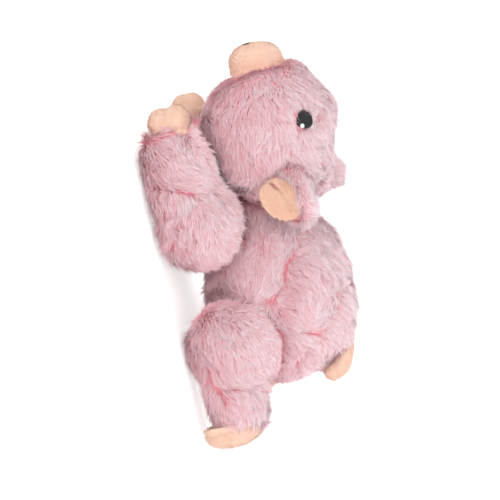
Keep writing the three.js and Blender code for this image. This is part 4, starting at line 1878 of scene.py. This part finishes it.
@dataclass
class Ear:
    """One ear: a cupped leaf of pile cloth with a thick rolled upper edge, lined with nap cloth."""

    hand: Hand
    length: float
    rise: float
    seed: int
    root: Triple = (-0.0454, 0.038, 0.099)
    half_width: float = 17.5 * MM
    cup: float = 9.0 * MM
    flare: float = 0.3
    droop: float = 0.25
    taper: float = 0.18
    thickness: float = 5.5 * MM
    sag: float = 3.0 * MM
    lining_centre: Pair = (0.545, -7.4 * MM)
    lining_half: Pair = (0.36, 12.8 * MM)
    lining_turn: float = 0.37
    pleat_depth: float = 2.0 * MM
    rim_path: tuple[Pair, ...] = (
        (0.12, -0.34), (0.17, 0.06), (0.30, 0.42), (0.50, 0.58), (0.70, 0.47), (0.86, 0.26), (0.96, 0.08),
    )
    rim_radius: float = 6.6 * MM

    def __post_init__(self) -> None:
        """Lays out the ear's own axes."""
        side = self.hand.value
        self.start = np.array(self.root) * [1, side, 1]
        self.along = unit(np.array([1.0, side * self.flare, self.rise]))
        outward = np.array([0.0, side, -self.droop])
        self.outward = unit(outward - self.along * (outward @ self.along))
        self.across = np.cross(self.along, self.outward) * side
        self.name = f"ear_{self.hand.word}"
        self.middle = self.lining_centre[0] * self.length, self.lining_centre[1]
        self.half = self.lining_half[0] * self.length, self.lining_half[1]

    def place(self, run: Array, rise: Array, lift: Array) -> Array:
        """Turns places along, across and off the ear's middle surface into points.

        Args:
            run: How far along the ear from its root.
            rise: How far across it, upwards.
            lift: How far off it, outwards.

        Returns:
            The points.
        """
        off = lift + self.cup * (rise / self.half_width) ** 2
        flat = self.start + np.outer(run, self.along) + np.outer(rise, self.across)
        return flat + np.outer(off, self.outward)

    def local(self, points: Array) -> tuple[Array, Array, Array]:
        """Turns points into places along, across and off the ear's middle surface.

        Args:
            points: Rows of points.

        Returns:
            How far along, across and outwards each point is.
        """
        off = points - self.start
        run, rise, out = off @ self.along, off @ self.across, off @ self.outward
        return run, rise, out - self.cup * (rise / self.half_width) ** 2

    def leaf(self) -> Shell:
        """Makes the body of the ear, a thin padded leaf.

        Returns:
            The closed surface.
        """
        ball = unit_ball(56, 44)
        x, y, z = ball.points.T
        half = self.length / 2
        rise = y * (self.half_width * (1 - self.taper * x) - BACKING_DEPTH) - self.sag * (1 - x ** 2)
        points = self.place(half + x * (half - BACKING_DEPTH), rise, z * (self.thickness / 2 - 0.6 * MM))
        return Shell(points, ball.faces)

    def rim(self) -> Shell:
        """Makes the thick roll of cloth along the upper edge.

        Returns:
            The closed surface.
        """
        t = np.linspace(0, 1, 36)
        marks = np.linspace(0, 1, len(self.rim_path))
        run, rise = (
            np.convolve(np.pad(size * np.interp(t, marks, stops), 3, mode="edge"), np.ones(7) / 7, "valid")
            for size, stops in zip((self.length, self.half_width), np.array(self.rim_path).T)
        )
        spine = self.place(run, rise, np.full(36, 1.2 * MM))
        radii = (self.rim_radius - BACKING_DEPTH / 2) * np.clip(4.5 * t * (1 - t), 0.12, 1) ** 0.45
        return swept(spine, radii, flat=1.15)

    def in_lining(self, run: Array, rise: Array, margin: float) -> Array:
        """Tells which places are on the lining.

        Args:
            run: How far along the ear each is.
            rise: How far across it.
            margin: How far the lining's edge is moved outwards.

        Returns:
            True for each place inside.
        """
        dx, dy = run - self.middle[0], rise - self.middle[1]
        cosine, sine = math.cos(self.lining_turn), math.sin(self.lining_turn)
        a, b = dx * cosine + dy * sine, dy * cosine - dx * sine
        return (a / (self.half[0] + margin)) ** 2 + (b / (self.half[1] + margin)) ** 2 < 1

    def lining(self) -> Shell:
        """Makes the padded lining, with one pleat from its root.

        Returns:
            The closed surface.
        """
        ball = unit_ball(72, 60)
        x, y, z = ball.points.T
        cosine, sine = math.cos(self.lining_turn), math.sin(self.lining_turn)
        a, b = x * self.half[0], y * self.half[1] * (1 + 0.1 * x)
        run, rise = self.middle[0] + a * cosine - b * sine, self.middle[1] + a * sine + b * cosine
        off = y - 0.12 + 0.25 * (x + 0.2) ** 2
        reach = np.clip(0.9 * (0.7 - x), 0, 1) * (z > 0)
        pleat = bell(off, 0.09) * reach
        overlap = 0.5 * (1 + np.tanh(off / 0.07)) * bell(off, 0.5) * reach
        puff = 0.7 * MM * (1 - y ** 2) * (1 - x ** 2)
        face = self.thickness / 2 + 0.9 * MM + z * 1.0 * MM + puff
        return Shell(self.place(run, rise, face + 0.9 * MM * overlap - self.pleat_depth * pleat), ball.faces)

    def build(self, wardrobe: Wardrobe) -> None:
        """Makes the ear's cloth, pile and lining.

        Args:
            wardrobe: The materials.
        """
        tailor = Tailor(self.name, wardrobe)
        skin = Skin.sculpt(self.name + "_cloth", [self.leaf(), self.rim()], 1.1 * MM, 3)
        tailor.pad(self.name, skin, wardrobe.backing, f"ear_back_{self.hand.word}", 0.5)
        lined = self.name + "_lining"
        lining = Skin.sculpt(lined, [self.lining()], 0.7 * MM, 1)
        tailor.pad(lined, lining, wardrobe.lining, f"ear_lining_{self.hand.word}", 0.5)
        tailor.nap(lined, lining, lambda points: self.local(points)[2] < 3 * MM)

        def flow(points: Array, normals: Array) -> Array:
            """Fans the pile out along the ear."""
            fan = np.outer(0.6 * self.local(points)[1] / self.half_width, self.across)
            return ruffled(self.along + fan, points, self.seed, (0.35, 0.016))

        def scale(points: Array, normals: Array) -> Array:
            """Says how long the pile is at each root, as a share of its full length.

            Args:
                points: The roots.
                normals: The cloth's normals there.

            Returns:
                The shares.
            """
            run, rise, lift = self.local(points)
            under_lining = self.in_lining(run, rise, -0.5 * MM) & (normals @ self.outward > 0.1) & (lift > 0)
            return np.where(under_lining, 0.0, 0.8 * np.clip(run / (6 * MM), 0.25, 1))

        def blocked(points: Array) -> Array:
            """Tells which points are in the lining."""
            run, rise, lift = self.local(points)
            return self.in_lining(run, rise, -2.4 * MM) & (lift > 1 * MM) & (lift < 6 * MM)

        # The ear's pile is paler all over, with painted light and shade from the cloth's facing.
        coat = Coat(flow, scale, lambda points, normals: tone_of(normals) - 0.15, blocked)
        tailor.grow(self.name, skin, coat, self.seed)


@dataclass
class Studio:
    """A pale floor, soft light and the camera at the photograph's viewing angle."""

    aim: Triple = (0.0056, 0.0, 0.0521)
    elevation: float = math.radians(11.5)
    distance: float = 1.4
    frame_width: float = 0.345
    roll_cosine: float = 0.2425
    sensor: float = 36.0
    floor_half: float = 6.0
    floor_colour: Colour = (252, 252, 252)
    floor_lift: float = 0.55
    sky: float = 0.98
    spread: float = math.radians(60)
    lamps: tuple[tuple[str, Triple, float, Colour], ...] = (
        ("near", (-0.03, -1.4, 0.1), 1.2, (255, 252, 250)),
        ("far", (0.3, 1.2, 1.0), 0.5, WHITE),
        ("tail", (1.2, 0.1, 0.8), 0.35, WHITE),
        ("snout", (-1.2, 0.2, 0.8), 0.2, WHITE),
    )

    def camera(self) -> None:
        """Stands the camera beside the pig, rolled as the photograph is."""
        look = Vector((0, math.cos(self.elevation), -math.sin(self.elevation)))
        above = Vector((0, math.sin(self.elevation), math.cos(self.elevation)))
        along = Vector((1, 0, 0))
        sine = math.sqrt(1 - self.roll_cosine ** 2)
        right = self.roll_cosine * along + sine * above
        up = -sine * along + self.roll_cosine * above
        lens = bpy.data.cameras.new("camera")
        lens.sensor_width = self.sensor
        lens.lens = self.sensor * self.distance / self.frame_width
        camera = link("camera", lens)
        turn = Matrix((right, up, -look)).transposed()
        camera.matrix_world = Matrix.Translation(Vector(self.aim) - self.distance * look) @ turn.to_4x4()
        bpy.context.scene.camera = camera

    def floor(self) -> None:
        """Lays a wide pale floor that keeps the pig's shadow."""
        signs = ((-1, -1), (1, -1), (1, 1), (-1, 1))
        corners = [(x * self.floor_half, y * self.floor_half, 0) for x, y in signs]
        floor = link("floor", mesh_from("floor", Shell(np.array(corners), [(0, 1, 2, 3)])))
        nodes = Nodes("floor")
        nodes.put(
            nodes.surface, Base_Color=linear(self.floor_colour), Roughness=1.0, Specular_IOR_Level=0.0,
            Emission_Color=(1, 1, 1, 1),
        )
        lift = nodes.add("ShaderNodeMath", operation="MULTIPLY")
        lift.inputs[1].default_value = self.floor_lift
        nodes.join(nodes.seen(), "Value", lift, 0)
        nodes.join(lift, "Value", nodes.surface, "Emission Strength")
        floor.data.materials.append(nodes.material)

    def light(self) -> None:
        """Sets the lamps, wide and far away on the sides of their given places."""
        for name, place, strength, colour in self.lamps:
            light = bpy.data.lights.new(name, "SUN")
            light.angle, light.energy = self.spread, strength
            light.color = linear(colour)[:3]
            lamp = link(name, light)
            lamp.location = place
            lamp.rotation_euler = (-Vector(place)).to_track_quat("-Z", "Y").to_euler()

    def world(self) -> None:
        """Surrounds the pig with even white light, and shows white behind it."""
        world = bpy.data.worlds.new("studio")
        world.use_nodes = True
        graph = Graph(world.node_tree)
        sky = graph.add("ShaderNodeBackground", Color=(1, 1, 1, 1))
        level = graph.add("ShaderNodeMapRange", To_Min=self.sky, To_Max=1.0)
        graph.join(graph.seen(), "Value", level, "Value")
        graph.join(level, "Result", sky, "Strength")
        graph.join(sky, "Background", graph.add("ShaderNodeOutputWorld"), "Surface")
        bpy.context.scene.world = world

    def build(self) -> None:
        """Sets up the whole studio."""
        self.camera()
        self.floor()
        self.world()
        self.light()
        bpy.context.scene.view_settings.view_transform = "Standard"


LEG_SIZES = {
    End.FRONT: dict(
        lobe_radius=29.5 * MM, tuck=10 * MM, wide=(0.021, 0.022, 0.017), tall=(0.024, 0.0245, 0.018),
        height=24 * MM, tip_overlap=13 * MM, covered_below=0.0, creases=(ELBOW_CREASE, SHOULDER_PARTING),
    ),
    End.REAR: dict(
        lobe_radius=31 * MM, tuck=12 * MM, wide=(0.021, 0.022, 0.019), tall=(0.024, 0.0225, 0.020),
        height=27.5 * MM, tip_overlap=14 * MM, covered_below=6 * MM, creases=(KNEE_CREASE, SHIN_PARTING),
    ),
}
HOOF_SIZES = {
    End.FRONT: dict(
        overlap=13 * MM, half_across=10.8 * MM, half_deep=14.5 * MM, blunt=2.5, stacked=True, cleft=2.4 * MM,
        tuck_depth=4 * MM,
    ),
    End.REAR: dict(
        overlap=14 * MM, half_across=11.5 * MM, half_deep=21.6 * MM, blunt=2.6, stacked=False, cleft=3 * MM,
        tuck_depth=2 * MM, offset=9 * MM, height=21.1 * MM,
    ),
}
HOOF_PLACES = {
    (End.FRONT, Hand.LEFT): dict(length=17.5 * MM, offset=5.4 * MM, height=28.5 * MM),
    (End.FRONT, Hand.RIGHT): dict(length=20.5 * MM, offset=3.2 * MM, height=25 * MM),
    (End.REAR, Hand.LEFT): dict(length=11.5 * MM),
    (End.REAR, Hand.RIGHT): dict(length=10.5 * MM),
}


def main() -> None:
    """Builds the toy piece by piece and logs the fibres and faces of each pile."""
    logging.basicConfig(level=logging.INFO, format="%(message)s")
    Studio().build()
    wardrobe = Wardrobe()
    torso, head = Torso(), Head()
    places = [(end, hand) for end in End for hand in Hand]
    legs = [Leg(end, hand, seed=31 + 5 * i, **LEG_SIZES[end]) for i, (end, hand) in enumerate(places)]
    torso.build(legs, head, wardrobe)
    head.build(torso, legs, wardrobe)
    Snout().build(wardrobe)
    for leg in legs:
        leg.build(torso, head, wardrobe)
    for leg in legs:
        Hoof(leg, **HOOF_SIZES[leg.end], **HOOF_PLACES[leg.end, leg.hand]).build(wardrobe)
    Ear(Hand.LEFT, length=46 * MM, rise=0.08, seed=41).build(wardrobe)
    Ear(Hand.RIGHT, length=28 * MM, rise=0.72, seed=43).build(wardrobe)
    Face().build(head, wardrobe)
    Tail().build(wardrobe)
    wardrobe.finish_nodes()


if __name__ == "__main__":
    main()
